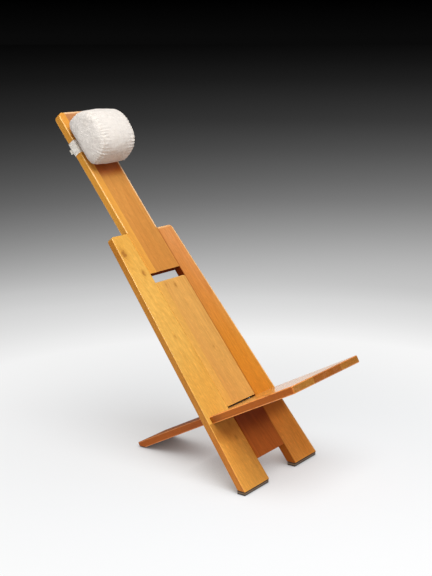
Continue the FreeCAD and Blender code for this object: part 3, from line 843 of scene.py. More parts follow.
@dataclass(frozen=True)
class ThreadFinish:
    """Twisted sewing thread."""

    name: str = "SewingThread"
    colour: Colour = sheet_colour("c9b8a3")

    def build(self) -> Material:
        """Makes the material: fine plies in a matt thread."""
        graph = Graph.of(self.name)
        plies = graph.cloud(graph.place(), 1800.0)
        colour = graph.brightened(self.colour, 0.8 + plies * 0.4)
        return graph.finish(colour, 0.75 + plies * 0.15, graph.bumped(plies, 0.1 * MM))


def dress_in(made: Object, finish: Material) -> None:
    """Gives an object one material."""
    made.data.materials.clear()
    made.data.materials.append(finish)


def new_object(name: str, mesh: Mesh) -> Object:
    """Puts a mesh in the scene as an object at the origin."""
    mesh.name = name
    made = bpy.data.objects.new(name, mesh)
    bpy.context.scene.collection.objects.link(made)
    return made


def mesh_from(points: Iterable[Vector], faces: Iterable[Sequence[int]]) -> Mesh:
    """A mesh from its points and faces, with its normals turned outwards."""
    mesh = bpy.data.meshes.new("draft")
    mesh.from_pydata([tuple(point) for point in points], [], [tuple(face) for face in faces])
    bm = bmesh.new()
    bm.from_mesh(mesh)
    bmesh.ops.remove_doubles(bm, verts=bm.verts, dist=1e-6)
    bmesh.ops.recalc_face_normals(bm, faces=bm.faces)
    bm.to_mesh(mesh)
    bm.free()
    return mesh


def grid_faces(rows: int, columns: int, closed: bool = False) -> list[tuple]:
    """The quads of a grid whose points are listed row by row, and whose rows close on themselves if asked."""
    faces = []
    for i in range(rows - 1):
        for j in range(columns if closed else columns - 1):
            here, beside = i * columns + j, i * columns + (j + 1) % columns
            faces.append((here, beside, beside + columns, here + columns))
    return faces


def settled(made: Object) -> None:
    """Replaces an object's mesh by what its modifiers make of it, and removes them."""
    view = bpy.context.evaluated_depsgraph_get()
    mesh = bpy.data.meshes.new_from_object(made.evaluated_get(view), depsgraph=view)
    made.modifiers.clear()
    made.data = mesh


def subdivided(made: Object) -> None:
    """Subdivides an object once, and applies all its modifiers."""
    finer = made.modifiers.new("Finer", "SUBSURF")
    finer.levels = finer.render_levels = 1
    settled(made)


def smooth(made: Object) -> None:
    """Shades all the object's faces smooth."""
    made.data.polygons.foreach_set("use_smooth", [True] * len(made.data.polygons))


def on_headrest(made: Object, fabric: str, *replaced: str) -> None:
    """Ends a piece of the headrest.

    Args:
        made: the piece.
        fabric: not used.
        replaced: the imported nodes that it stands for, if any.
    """
    if replaced:
        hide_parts(*replaced)
    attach(made, "headrest")
    log.info("%s made, %d faces", made.name, len(made.data.polygons))


@dataclass
class StitchRow:
    """A row of stitches along a path, made by Geometry Nodes."""

    pitch: float = 6.0 * MM
    length: float = 4.2 * MM
    thread: float = 0.45 * MM
    shortest: float = 0.85
    longest: float = 1.1
    seed: int = 4

    def tree(self) -> bpy.types.NodeTree:
        """Builds the node tree: the path's points each carry one stitch, laid along it.

        Returns:
            The tree, with its sizes as named inputs.
        """
        tree = bpy.data.node_groups.new("StitchRow", "GeometryNodeTree")
        face = tree.interface
        for name, way, kind in (
            ("Path", "INPUT", "Geometry"),
            ("Pitch", "INPUT", "Float"),
            ("Stitch Length", "INPUT", "Float"),
            ("Thread Radius", "INPUT", "Float"),
            ("Thread", "INPUT", "Material"),
            ("Stitches", "OUTPUT", "Geometry"),
        ):
            face.new_socket(name=name, in_out=way, socket_type="NodeSocket" + kind)
        kinds = {
            "start": "NodeGroupInput",
            "curve": "GeometryNodeMeshToCurve",
            "marks": "GeometryNodeCurveToPoints",
            "bead": "GeometryNodeMeshUVSphere",
            "half": "ShaderNodeMath",
            "uneven": "FunctionNodeRandomValue",
            "long": "ShaderNodeMath",
            "size": "ShaderNodeCombineXYZ",
            "lay": "GeometryNodeInstanceOnPoints",
            "real": "GeometryNodeRealizeInstances",
            "shade": "GeometryNodeSetShadeSmooth",
            "dress": "GeometryNodeSetMaterial",
            "end": "NodeGroupOutput",
        }
        nodes = {name: tree.nodes.new(kind) for name, kind in kinds.items()}
        nodes["marks"].mode = "LENGTH"
        nodes["uneven"].data_type = "FLOAT"
        for name in ("half", "long"):
            nodes[name].operation = "MULTIPLY"
        for name, socket, value in (
            ("bead", "Segments", 6),
            ("bead", "Rings", 5),
            ("bead", "Radius", 1.0),
            ("half", 1, 0.5),
            ("uneven", 2, self.shortest),
            ("uneven", 3, self.longest),
            ("uneven", "Seed", self.seed),
        ):
            nodes[name].inputs[socket].default_value = value
        for source, output, target, socket in (
            ("start", "Path", "curve", "Mesh"),
            ("curve", "Curve", "marks", "Curve"),
            ("start", "Pitch", "marks", "Length"),
            ("start", "Stitch Length", "half", 0),
            ("half", 0, "long", 0),
            ("uneven", 1, "long", 1),
            ("start", "Thread Radius", "size", "X"),
            ("start", "Thread Radius", "size", "Y"),
            ("long", 0, "size", "Z"),
            ("marks", "Points", "lay", "Points"),
            ("marks", "Rotation", "lay", "Rotation"),
            ("bead", "Mesh", "lay", "Instance"),
            ("size", "Vector", "lay", "Scale"),
            ("lay", "Instances", "real", "Geometry"),
            ("real", "Geometry", "shade", "Geometry"),
            ("shade", "Geometry", "dress", "Geometry"),
            ("start", "Thread", "dress", "Material"),
            ("dress", "Geometry", "end", "Stitches"),
        ):
            tree.links.new(nodes[source].outputs[output], nodes[target].inputs[socket])
        return tree

    def sew(self, name: str, paths: Sequence[Sequence[Vector]], closed: bool, finish: Material) -> Object:
        """Lays stitches along some paths.

        Args:
            name: the piece's name.
            paths: the points of each path.
            closed: whether each path closes on itself.
            finish: the thread's material.

        Returns:
            One object with all the stitches.
        """
        points, edges = [], []
        for path in paths:
            first = len(points)
            points.extend(tuple(point) for point in path)
            edges.extend((i, i + 1) for i in range(first, len(points) - 1))
            if closed:
                edges.append((len(points) - 1, first))
        mesh = bpy.data.meshes.new(name)
        mesh.from_pydata(points, edges, [])
        made = new_object(name, mesh)
        values = {
            "Pitch": self.pitch,
            "Stitch Length": self.length,
            "Thread Radius": self.thread,
            "Thread": finish,
        }
        modifier = made.modifiers.new("Stitches", "NODES")
        modifier.node_group = self.tree()
        for item in modifier.node_group.interface.items_tree:
            if item.in_out == "INPUT" and item.name in values:
                modifier[item.identifier] = values[item.name]
        settled(made)
        return made


def board_wood(name: str, codes: str, heart: tuple[float, float], **details: object) -> BoardFinish:
    """A board's finish.

    Args:
        name: the finish's name.
        codes: the colour codes of its pale, dark and glowing wood.
        heart: the tree's middle, across the board and behind its face, in millimetres.
        details: the finish's other fields, in which a colour may be given as its code.

    Returns:
        The finish.
    """
    pale, dark, glow = (sheet_colour(code) for code in codes.split())
    across, behind = heart
    fields = {key: sheet_colour(value) if isinstance(value, str) else value for key, value in details.items()}
    return BoardFinish(name, pale, dark, glow, across * MM, behind * MM, **fields)


def knots(*places: tuple[float, float, float, float]) -> tuple[Knot, ...]:
    """Knots from their place across and along and their radius, in millimetres, and their depth."""
    return tuple(Knot(across * MM, along * MM, radius * MM, depth) for across, along, radius, depth in places)


SEAT_RUB = 3.6 * MM

WOODS: dict[str, BoardFinish] = {
    "side_rail_right": board_wood(
        "RightRailWood",
        "e8b256 c88936 dfa143",
        (-100.0, 115.0),
        drift=0.045,
        contrast=0.26,
        figure=0.19,
        flecks=0.40,
        side_tint=(0.68, 0.50, 0.31),
        seed=1.0,
        knots=knots(
            (-129.0, 778.0, 9.0, 0.6),
            (-95.0, 706.0, 6.0, 0.5),
            (-115.5, 496.0, 3.0, 0.3),
            (-101.0, 203.0, 5.0, 0.3),
            (-105.0, 161.0, 4.0, 0.25),
        ),
        # lower: painted light, the leg under the seat made paler against the seat's shadow.
        lower="e29f46",
        rub=1.0 * MM,
        step_shade=0.03,
        seam_shade=0.04,
    ),
    "side_rail_left": board_wood(
        "LeftRailWood",
        "db9132 bc671b d47f1e",
        (120.0, 90.0),
        drift=-0.03,
        seed=2.3,
        flecks=0.28,
        step_shade=0.5,
        upper="d49055",
        # lower: painted light, the leg under the seat made paler against the seat's shadow.
        lower="f4a044",
        # A painted highlight along the rail's upper edges.
        face_rub=8.5 * MM,
        worn_lift=0.25,
    ),
    "neck_narrow_stave": board_wood(
        "NarrowStaveWood",
        "e3a248 c97e2a dd943b",
        (-150.0, 60.0),
        contrast=0.25,
        flecks=0.15,
        seed=3.1,
        side_tint=(0.94, 0.94, 0.80),
        rub=3.5 * MM,
        slot_end=True,
    ),
    "neck_broad_stave": board_wood(
        "BroadStaveWood",
        "d08e44 b1692c c78139",
        (40.0, 140.0),
        drift=0.02,
        contrast=0.28,
        seed=4.7,
        slot_end=True,
        upper="ba8153",
        upper_from=(1.08, 1.20),
        covered=(1.024, 1.11),
        flecks=0.30,
        # A painted highlight along the neck's edges.
        face_rub=9.5 * MM,
        worn_lift=0.30,
    ),
    "centre_panel": board_wood(
        "CentrePanelWood",
        "dea455 c18439 d89b50",
        (30.0, 130.0),
        flecks=0.30,
        seed=5.9,
        knots=knots((-35.0, 652.0, 3.0, 0.35), (5.0, 644.0, 3.5, 0.35), (14.0, 428.0, 2.6, 0.3)),
        stripe_edge=-42.0 * MM,
        stripe="e4aa50",
    ),
    # Painted shade: the lower panel darkened as in the seat's shadow, most under the seat (upper), least near the
    # floor (lower).
    "lower_panel": board_wood(
        "LowerPanelWood",
        "9f541f 7f3a0f 924618",
        (-20.0, 120.0),
        seed=6.4,
        lower="c96d29",
        lower_from=(0.19, 0.10),
        upper="803611",
        upper_from=(0.145, 0.20),
    ),
    "seat_centre_board": board_wood(
        "SeatCentreWood",
        "bb6b20 99470e ab5915",
        (15.0, 110.0),
        rubbed=(0.0, 24.0 * MM),
        matt_from=10.0 * MM,
        end_tint=(0.88, 0.92, 1.05),
        drift=0.025,
        seed=7.2,
        end_flecks=0.20,
        end_shade=0.18,
        rub=SEAT_RUB,
        side_tint=(0.84, 0.67, 0.33),
        polished="eeaf5b",
    ),
    "seat_side_board_right": board_wood(
        "SeatRightWood",
        "d67f21 ae570f c46815",
        (-140.0, 100.0),
        seed=8.8,
        end_tint=(0.78, 1.06, 2.1),
        upper="b4691a",
        upper_from=(-0.06, -0.01),
        end_flecks=0.34,
        end_shade=0.22,
        rub=SEAT_RUB,
        side_tint=(0.68, 0.56, 0.35),
        polished="eeac60",
    ),
    "seat_side_board_left": board_wood(
        "SeatLeftWood",
        "c87422 a14d10 b55f17",
        (130.0, 125.0),
        drift=-0.03,
        seed=9.5,
        end_tint=(0.88, 1.18, 1.9),
        end_flecks=0.24,
        end_shade=0.14,
        rub=SEAT_RUB,
        side_tint=(0.80, 0.66, 0.45),
        polished="eeac60",
    ),
}


@dataclass
class Boards:
    """All the wooden boards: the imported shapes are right, and each gets its own wood."""

    chair: Chair
    half_middle: float = 70.0 * MM
    half_foot: float = 192.5 * MM
    half_shoulder: float = 142.5 * MM
    half_seat_back: float = 164.0 * MM
    half_seat_front: float = 179.0 * MM
    seat_depth: float = 313.4 * MM
    tail_end: float = 385.4 * MM
    seat_thickness: float = 22.0 * MM
    beyond: float = 10.0

    def dress(self, nodes: dict[str, Object]) -> None:
        """Gives every board its material.

        Args:
            nodes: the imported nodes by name.
        """
        for name, (frame, outline) in self._outlines().items():
            dress_in(nodes[name], WOODS[name].build(frame, outline))
            log.info("board %s dressed in %s", name, WOODS[name].name)

    def _outlines(self) -> dict[str, tuple[Leaning, Outline]]:
        """Each board's frame and outline, beyond being further than any edge."""
        chair, middle, shoulder = self.chair, self.half_middle, self.chair.shoulder_reach
        rail_taper = (self.half_shoulder - self.half_foot) / shoulder
        seat_taper = (self.half_seat_back - self.half_seat_front) / self.seat_depth
        back_faces = (chair.proud, -chair.rail_thickness)
        seat_faces = (0.0, -self.seat_thickness)
        crease = chair.seat_reach - self.seat_thickness
        rail = Outline(self.half_foot, rail_taper, 0.0, shoulder, 0.0, -chair.rail_thickness, middle, crease)
        neck = Outline(middle, 0.0, chair.hand_slot_high, chair.neck_reach, *back_faces, free_from=shoulder)
        panel = Outline(middle, 0.0, chair.seat_reach, chair.hand_slot_low, *back_faces, free_from=self.beyond)
        wing = Outline(self.half_seat_back, seat_taper, -self.seat_depth, self.beyond, *seat_faces, middle)
        tail = Outline(middle, 0.0, -self.seat_depth, self.tail_end, *seat_faces)
        return {
            "side_rail_right": (chair.back, rail),
            "side_rail_left": (chair.back, rail),
            "neck_narrow_stave": (chair.back, neck),
            "neck_broad_stave": (chair.back, neck),
            "centre_panel": (chair.back, panel),
            "lower_panel": (chair.back, panel),
            "seat_centre_board": (chair.seat, tail),
            "seat_side_board_right": (chair.seat, wing),
            "seat_side_board_left": (chair.seat, wing),
        }


@dataclass
class HiddenDowels:
    """The dowels, which only an opened joint would show."""

    groups: tuple[str, ...] = ("neck_dowels", "centre_panel_dowels", "lower_panel_dowels", "seat_dowels")

    def dress(self, nodes: dict[str, Object]) -> None:
        """Gives the dowels their wood."""
        finish = DowelFinish().build()
        for name in self.groups:
            dress_in(nodes[name], finish)
            log.info("dowels %s dressed", name)


@dataclass
class FloorPads:
    """The felt under the feet and the tail, and the dark sheet above the feet's felt."""

    felts: dict[str, str] = field(
        default_factory=lambda: {"foot_felt_right": "back", "foot_felt_left": "back", "tail_pad": "seat"}
    )
    backings: tuple[str, ...] = ("foot_backing_right", "foot_backing_left")
    cell: float = 2.5 * MM
    levels: int = 5
    squash: float = 0.35 * MM
    rim: float = 0.8 * MM

    def dress(self, nodes: dict[str, Object]) -> None:
        """Replaces the plain felt by matted pads and gives the dark sheets their finish.

        Args:
            nodes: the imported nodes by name.
        """
        felt = FeltFinish().build()
        for name, body in self.felts.items():
            piece = new_object(name + "_matted", self._pad(name))
            dress_in(piece, felt)
            smooth(piece)
            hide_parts(name)
            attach(piece, body)
            log.info("pad %s made, %d faces", piece.name, len(piece.data.polygons))
        backing = BackingFinish().build()
        for name in self.backings:
            dress_in(nodes[name], backing)
            log.info("sheet %s dressed", name)

    def _pad(self, node: str) -> Mesh:
        """A thin slab with soft, slightly uneven sides, in the node's own box."""
        low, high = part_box(node)
        size = high - low
        bm = bmesh.new()
        bmesh.ops.create_cube(bm, size=1.0)
        cuts = (max(4, round(size.x / self.cell)), max(4, round(size.y / self.cell)), self.levels)
        for axis, slices in enumerate(cuts):
            self._slice(bm, axis, slices)
        for vertex in bm.verts:
            share = vertex.co.copy()
            point = (low + high) / 2 + share * size
            edge = max(abs(share.z) * 2 - 0.5, 0.0) * 2
            inwards = Vector([part if abs(part) > 0.499 else 0.0 for part in share.xy] + [0.0])
            uneven = noise.noise(point * 180.0) * 0.5 + noise.noise(point * 520.0) * 0.3
            shift = self.rim * 0.5 * edge * edge + self.squash * (uneven + 0.5)
            vertex.co = point - inwards * 2.0 * shift
        bmesh.ops.recalc_face_normals(bm, faces=bm.faces)
        mesh = bpy.data.meshes.new(node)
        bm.to_mesh(mesh)
        bm.free()
        return mesh

    @staticmethod
    def _slice(bm: bmesh.types.BMesh, axis: int, cuts: int) -> None:
        """Cuts the unit cube into that many slices along an axis."""
        normal = Vector((0.0, 0.0, 0.0))
        normal[axis] = 1.0
        for i in range(1, cuts):
            middle = normal * (i / cuts - 0.5)
            geometry = list(bm.verts) + list(bm.edges) + list(bm.faces)
            bmesh.ops.bisect_plane(bm, geom=geometry, plane_co=middle, plane_no=normal)


@dataclass
class Bolster:
    """The stuffed headrest: a tube of cloth with two end panels, tight with filling.

    Sizes are in the back's frame. The section is a boxy oval, flat where it lies on the neck.
    """

    chair: Chair
    reach: float = 1147.6 * MM
    half_height: float = 79.2 * MM
    rear: float = 4.3 * MM
    widest: float = 38.4 * MM
    front_depth: float = 77.3 * MM
    front_power: float = 2.37
    rear_power: float = 4.6
    fullness: float = 0.049
    upward: float = 0.05
    half_length: float = 66.4 * MM
    crown: float = 20.0 * MM
    slack: float = 6.0 * MM
    cap: float = 8.0 * MM
    voxel: float = 4.0 * MM
    seam_depth: float = 1.8 * MM
    seam_width: float = 2.6 * MM
    pucker: float = 1.7 * MM
    pucker_pitch: float = 10.0 * MM
    pucker_reach: float = 16.0 * MM
    lumps: float = 1.1 * MM
    wrinkles: float = 0.5 * MM
    corners: int = 96
    dome_rings: int = 12
    half_tube_rings: int = 8
    pressure: float = 4.0
    frames: int = 20
    outside: float = 1.6
    thread_lift: float = 0.25 * MM

    @property
    def radius(self) -> float:
        """The radius of a circle about as long as the section's outline."""
        return math.sqrt(self.half_height * self.front_depth)

    def section(self, x: float, share: float, shrink: float = 0.0) -> list[Vector]:
        """One section of the bolster: round in front, squarer where it lies on the neck.

        Args:
            x: its place across the neck.
            share: its size as a share of the section's at the seams.
            shrink: how much smaller it is all round.

        Returns:
            The points, in the back's frame.
        """
        points = []
        for i in range(self.corners):
            angle = 2 * math.pi * i / self.corners
            up, deep = math.cos(angle), math.sin(angle)
            front = deep > 0
            boxy = self.front_power if front else self.rear_power
            power = 2 / (2 + (boxy - 2) * min(share, 1.0) ** 3)
            reach = self.front_depth if front else self.widest - self.rear
            along = (self.half_height - shrink) * share * math.copysign(abs(up) ** power, up)
            out = (reach - shrink) * share * math.copysign(abs(deep) ** power, deep)
            points.append(Vector((x, self.reach + along + self.upward * out, self.widest + out)))
        return points

    def body_mesh(self, shrink: float) -> Mesh:
        """The closed bolster, smaller all round by shrink: the slack shape that the filling then swells."""
        half = self.half_length - shrink * 0.5
        crown = self.crown - shrink * 0.5
        turns = [math.pi / 2 * i / self.dome_rings for i in range(1, self.dome_rings)]
        left = [(half + crown * math.sin(turn), math.cos(turn)) for turn in turns]
        steps = [i / self.half_tube_rings for i in range(-self.half_tube_rings, self.half_tube_rings + 1)]
        tube = [(half * step, 1 + self.fullness * (1 - step**2)) for step in steps]
        rings = [(-x, share) for x, share in reversed(left)] + tube + left
        points: list[Vector] = []
        for x, share in rings:
            points.extend(self.chair.back.at(*point) for point in self.section(x, share, shrink))
        faces = grid_faces(len(rings), self.corners, closed=True)
        for sign, first in ((-1, 0), (1, (len(rings) - 1) * self.corners)):
            pole = len(points)
            points.append(self.chair.back.at(sign * (half + crown), self.reach, self.widest))
            faces.extend((first + i, first + (i + 1) % self.corners, pole) for i in range(self.corners))
        return mesh_from(points, faces)

    def fitted(self, made: Object) -> None:
        """Scales the swollen bolster to the room that it has over the neck."""
        back = self.chair.back
        full = [back.place(vertex.co) for vertex in self.body_mesh(0.0).vertices]
        swollen = [back.place(vertex.co) for vertex in made.data.vertices]
        spans = []
        for room, size in zip(zip(*full), zip(*swollen)):
            spans.append((min(room), (max(room) - min(room)) / (max(size) - min(size)), min(size)))
        for vertex, point in zip(made.data.vertices, swollen):
            parts = (low + (part - start) * scale for part, (low, scale, start) in zip(point, spans))
            vertex.co = back.at(*parts)

    def swell(self, made: Object) -> None:
        """Remeshes the slack bolster evenly and lets a cloth simulation swell it, by no more than the cap."""
        remesh = made.modifiers.new("Even", "REMESH")
        remesh.mode = "VOXEL"
        remesh.voxel_size = self.voxel
        settled(made)
        rest = [vertex.co.copy() for vertex in made.data.vertices]
        cloth = made.modifiers.new("Filling", "CLOTH")
        cloth.settings.use_pressure = True
        cloth.settings.uniform_pressure_force = self.pressure
        cloth.settings.effector_weights.gravity = 0.0
        cloth.settings.quality = 6
        cloth.point_cache.frame_start = 1
        cloth.point_cache.frame_end = self.frames
        for frame in range(1, self.frames + 1):
            bpy.context.scene.frame_set(frame)
        settled(made)
        bpy.context.scene.frame_set(1)
        grown = []
        for start, vertex in zip(rest, made.data.vertices):
            moved = vertex.co - start
            if moved.length > self.cap:
                moved *= self.cap / moved.length
            grown.append(start + moved)
        for vertex, point in zip(made.data.vertices, grown):
            vertex.co = point
        even = made.modifiers.new("Even out", "SMOOTH")
        even.iterations = 3
        even.factor = 0.5
        subdivided(made)
        self.fitted(made)

    def polar(self, point: Vector) -> tuple[float, float]:
        """A point's share of the section's size, and its angle round it.

        Args:
            point: in the back's frame.

        Returns:
            The share, 1 on the section at the seams, and the angle in radians.
        """
        out = point.z - self.widest
        power = self.front_power if out > 0 else self.rear_power
        deep = out / (self.front_depth if out > 0 else self.widest - self.rear)
        up = (point.y - self.reach - self.upward * out) / self.half_height
        return (abs(up) ** power + abs(deep) ** power) ** (1 / power), math.atan2(deep, up)

    def sewn(self, made: Object) -> None:
        """Presses the bolster flat on the neck and draws in its seams, with puckers to both sides."""
        back = self.chair.back
        normals = [vertex.normal.copy() for vertex in made.data.vertices]
        waves = round(2 * math.pi * self.radius / self.pucker_pitch)
        for vertex, normal in zip(made.data.vertices, normals):
            point = back.place(vertex.co)
            share, angle = self.polar(point)
            past = abs(point.x) - self.half_length
            gap = abs(past) if past < 0 else past + (1 - min(share, 1.0)) * self.half_height * 0.7
            side = 1.0 if point.x > 0 else -1.0
            sway = noise.noise(Vector((angle * 2.0, side * 3.0, 1.0))) * 2.6
            wave = math.sin(angle * waves + sway + side) + 0.5 * math.sin(angle * waves * 1.7 + 2.0 * sway)
            strength = 0.6 + 0.6 * noise.noise(Vector((angle * 2.3, side * 5.0, 7.0)))
            fall = math.exp(-gap / self.pucker_reach)
            move = -self.seam_depth * math.exp(-((gap / self.seam_width) ** 2))
            move += self.pucker * strength * wave * fall * min(1.0, gap / self.seam_width * 0.5 + 0.25)
            move += self.lumps * noise.noise(point * 30.0) + self.wrinkles * noise.noise(point * 85.0)
            vertex.co = vertex.co + normal * move
        for vertex in made.data.vertices:
            point = back.place(vertex.co)
            if point.z < self.rear:
                vertex.co = back.at(point.x, point.y, self.rear)

    def lay_cloth(self, made: Object) -> None:
        """Gives the cloth its UV map in metres: rolled round the tube, flat on the end panels."""
        back = self.chair.back
        layer = made.data.uv_layers.new(name="Cloth")
        places = [back.place(vertex.co) for vertex in made.data.vertices]
        for face in made.data.polygons:
            middle = sum((places[i] for i in face.vertices), Vector()) / len(face.vertices)
            _, turn = self.polar(middle)
            flat_end = abs(middle.x) > self.half_length
            for corner, index in zip(face.loop_indices, face.vertices):
                point = places[index]
                if flat_end:
                    layer.data[corner].uv = (point.y, point.z)
                    continue
                _, angle = self.polar(point)
                if angle - turn > math.pi:
                    angle -= 2 * math.pi
                if turn - angle > math.pi:
                    angle += 2 * math.pi
                layer.data[corner].uv = (angle * self.radius, point.x)

    def seam_path(self, made: Object, side: Side) -> list[Vector]:
        """Points along a seam, on the finished cloth."""
        tree = BVHTree.FromPolygons(
            [vertex.co for vertex in made.data.vertices], [list(face.vertices) for face in made.data.polygons]
        )
        back = self.chair.back
        middle = back.at(side.value * self.half_length, self.reach, self.widest)
        points = []
        for outer in self.section(side.value * self.half_length, self.outside):
            start = back.at(*outer)
            hit, normal, _, _ = tree.ray_cast(start, (middle - start).normalized())
            if hit is not None:
                points.append(hit + normal * self.thread_lift)
        return points

    def dress(self) -> None:
        """Makes the bolster and the stitches of its two seams."""
        pale, hollow = sheet_colour("efe8e1"), sheet_colour("cfc4b8")
        cloth = ClothFinish("BolsterCloth", pale, hollow, soiling=0.12, gather=self.half_length).build()
        made = new_object("headrest_bolster", self.body_mesh(self.slack))
        self.swell(made)
        self.sewn(made)
        self.lay_cloth(made)
        smooth(made)
        dress_in(made, cloth)
        packed = ("headrest_cover", "headrest_end_right", "headrest_end_left", "headrest_filling")
        on_headrest(made, "cover_fabric", *packed)
        paths = [self.seam_path(made, side) for side in Side]
        stitches = StitchRow().sew("headrest_seam_stitches", paths, True, ThreadFinish().build())
        on_headrest(stitches, "cover_fabric")


@dataclass
class Strap:
    """The cloth band round the neck, and its folded loose end."""

    chair: Chair
    low: float = 1128.6 * MM
    width: float = 44.0 * MM
    thickness: float = 1.3 * MM
    clearance: float = 0.45 * MM
    half_neck: float = 70.0 * MM
    corner: float = 3.0 * MM
    crease: float = 0.5 * MM
    sway: float = 0.7 * MM
    hem: float = 3.5 * MM
    tongue_gap: float = 0.2 * MM
    rows: int = 23
    tongue_height: float = 15.0 * MM
    tongue_path: tuple[tuple[float, float], ...] = (
        (-50.0, 0.0),
        (-54.0, 0.4),
        (-58.0, 1.6),
        (-62.0, 3.8),
        (-65.0, 6.6),
        (-67.5, 9.2),
    )

    def loop(self, offset: float, count: int = 200, arc: int = 7) -> list[tuple[float, float, float, bool]]:
        """A rounded loop round the neck.

        Args:
            offset: how far it lies from the neck's faces.
            count: how many points it has.
            arc: how many parts each rounded corner has.

        Returns:
            For each point its place across and out, its distance along the loop, and whether it is free
            of the headrest, which presses it flat in front.
        """
        radius = self.corner + offset
        right = self.half_neck - self.corner
        front = self.chair.proud - self.corner
        rear = -self.chair.rail_thickness + self.corner
        centres = ((right, front, 0.0), (-right, front, 0.5), (-right, rear, 1.0), (right, rear, 1.5))
        corners = []
        for across, out, quarter in centres:
            for i in range(arc + 1):
                angle = math.pi * (quarter + 0.5 * i / arc)
                corners.append((across + radius * math.cos(angle), out + radius * math.sin(angle)))
        runs = list(zip(corners, corners[1:] + corners[:1]))
        lengths = [math.dist(here, there) for here, there in runs]
        step = sum(lengths) / count
        run, passed = 0, 0.0
        points = []
        for far in (k * step for k in range(count)):
            while passed + lengths[run] < far:
                passed += lengths[run]
                run += 1
            share = (far - passed) / lengths[run]
            x, out = (here + (there - here) * share for here, there in zip(*runs[run]))
            pressed = out > self.chair.proud + offset * 0.5 and abs(x) < right
            points.append((x, out, far, not pressed))
        return points

    def band_mesh(self) -> Mesh:
        """The band's inner face as a sheet, with long soft creases where it isn't pressed flat."""
        loop = self.loop(self.clearance)
        points = []
        for j in range(self.rows):
            share = j / (self.rows - 1)
            for x, out, far, free in loop:
                lift = 0.0
                if free:
                    ridge = noise.noise(Vector((far * 22.0, share * 9.0, 2.0)))
                    fold = noise.noise(Vector((far * 9.0, share * 4.0, 8.0)))
                    lift = max(self.crease * (0.5 + 0.6 * ridge + 0.5 * fold), 0.0)
                outwards = Vector((x, out + 10.0 * MM)).normalized() * lift
                along = self.low + self.width * share + self.sway * noise.noise(Vector((far * 14.0, 0.0, 5.0)))
                points.append(self.chair.back.at(x + outwards.x, along, out + outwards.y))
        return mesh_from(points, grid_faces(self.rows, len(loop), closed=True))

    def tongue_mesh(self, rows: int = 19, columns: int = 15) -> Mesh:
        """The loose end: a short tongue that lifts off the band behind the neck and curls outwards."""
        low = self.low + (self.width - self.tongue_height) / 2
        rear = -self.chair.rail_thickness - self.clearance - self.thickness - self.tongue_gap
        path = self.tongue_path
        points = []
        for i in range(rows):
            t = i / (rows - 1) * (len(path) - 1)
            k = min(int(t), len(path) - 2)
            x, lift = (here + (there - here) * (t - k) for here, there in zip(path[k], path[k + 1]))
            for j in range(columns):
                across = j / (columns - 1)
                wave = noise.noise(Vector((x * 0.12, across * 4.0, 3.0))) * 1.1 * (i / rows)
                cup = (across - 0.5) ** 2 * 3.0 * (i / rows)
                along = low + self.tongue_height * across + noise.noise(Vector((x * 0.2, 1.0, across))) * 0.6 * MM
                points.append(self.chair.back.at(x * MM, along, rear - (lift + wave + cup) * MM))
        return mesh_from(points, grid_faces(rows, columns))

    def lay_cloth(self, made: Object) -> None:
        """Gives a piece its UV map in metres, from its place along the neck and round it."""
        back = self.chair.back
        layer = made.data.uv_layers.new(name="Cloth")
        places = [back.place(vertex.co) for vertex in made.data.vertices]
        for face in made.data.polygons:
            sideways = abs(back.place(back.start + face.normal).x) > 0.7
            for corner, index in zip(face.loop_indices, face.vertices):
                point = places[index]
                layer.data[corner].uv = (point.z if sideways else point.x, point.y)

    def hems(self) -> list[list[Vector]]:
        """The band's two hems, where it is free, from the headrest's one side round to the other."""
        outside = self.loop(self.clearance + self.thickness + self.crease * 0.8)
        start = next(i for i, item in enumerate(outside) if item[3] and not outside[i - 1][3])
        order = outside[start:] + outside[:start]
        heights = (self.low + self.hem, self.low + self.width - self.hem)
        return [[self.chair.back.at(x, along, out) for x, out, _, free in order if free] for along in heights]

    def dress(self) -> None:
        """Makes the band, its hem stitches and its loose end."""
        pale, hollow = sheet_colour("fffaf0"), sheet_colour("eaddcd")
        cloth = ClothFinish("StrapCloth", pale, hollow, thread=0.9 * MM, slub=0.14, soiling=0.2).build()
        for name, node, mesh, offset in (
            ("headrest_strap_band", "headrest_strap", self.band_mesh(), 1.0),
            ("headrest_strap_tongue", "strap_loose_end", self.tongue_mesh(), 0.0),
        ):
            made = new_object(name, mesh)
            wall = made.modifiers.new("Wall", "SOLIDIFY")
            wall.thickness = self.thickness
            wall.offset = offset
            subdivided(made)
            smooth(made)
            self.lay_cloth(made)
            dress_in(made, cloth)
            on_headrest(made, "strap_fabric", node)
        thread = ThreadFinish("StrapThread", sheet_colour("b8a48c")).build()
        row = StitchRow(pitch=4.5 * MM, length=3.2 * MM, thread=0.35 * MM)
        on_headrest(row.sew("headrest_strap_stitches", self.hems(), False, thread), "strap_fabric")


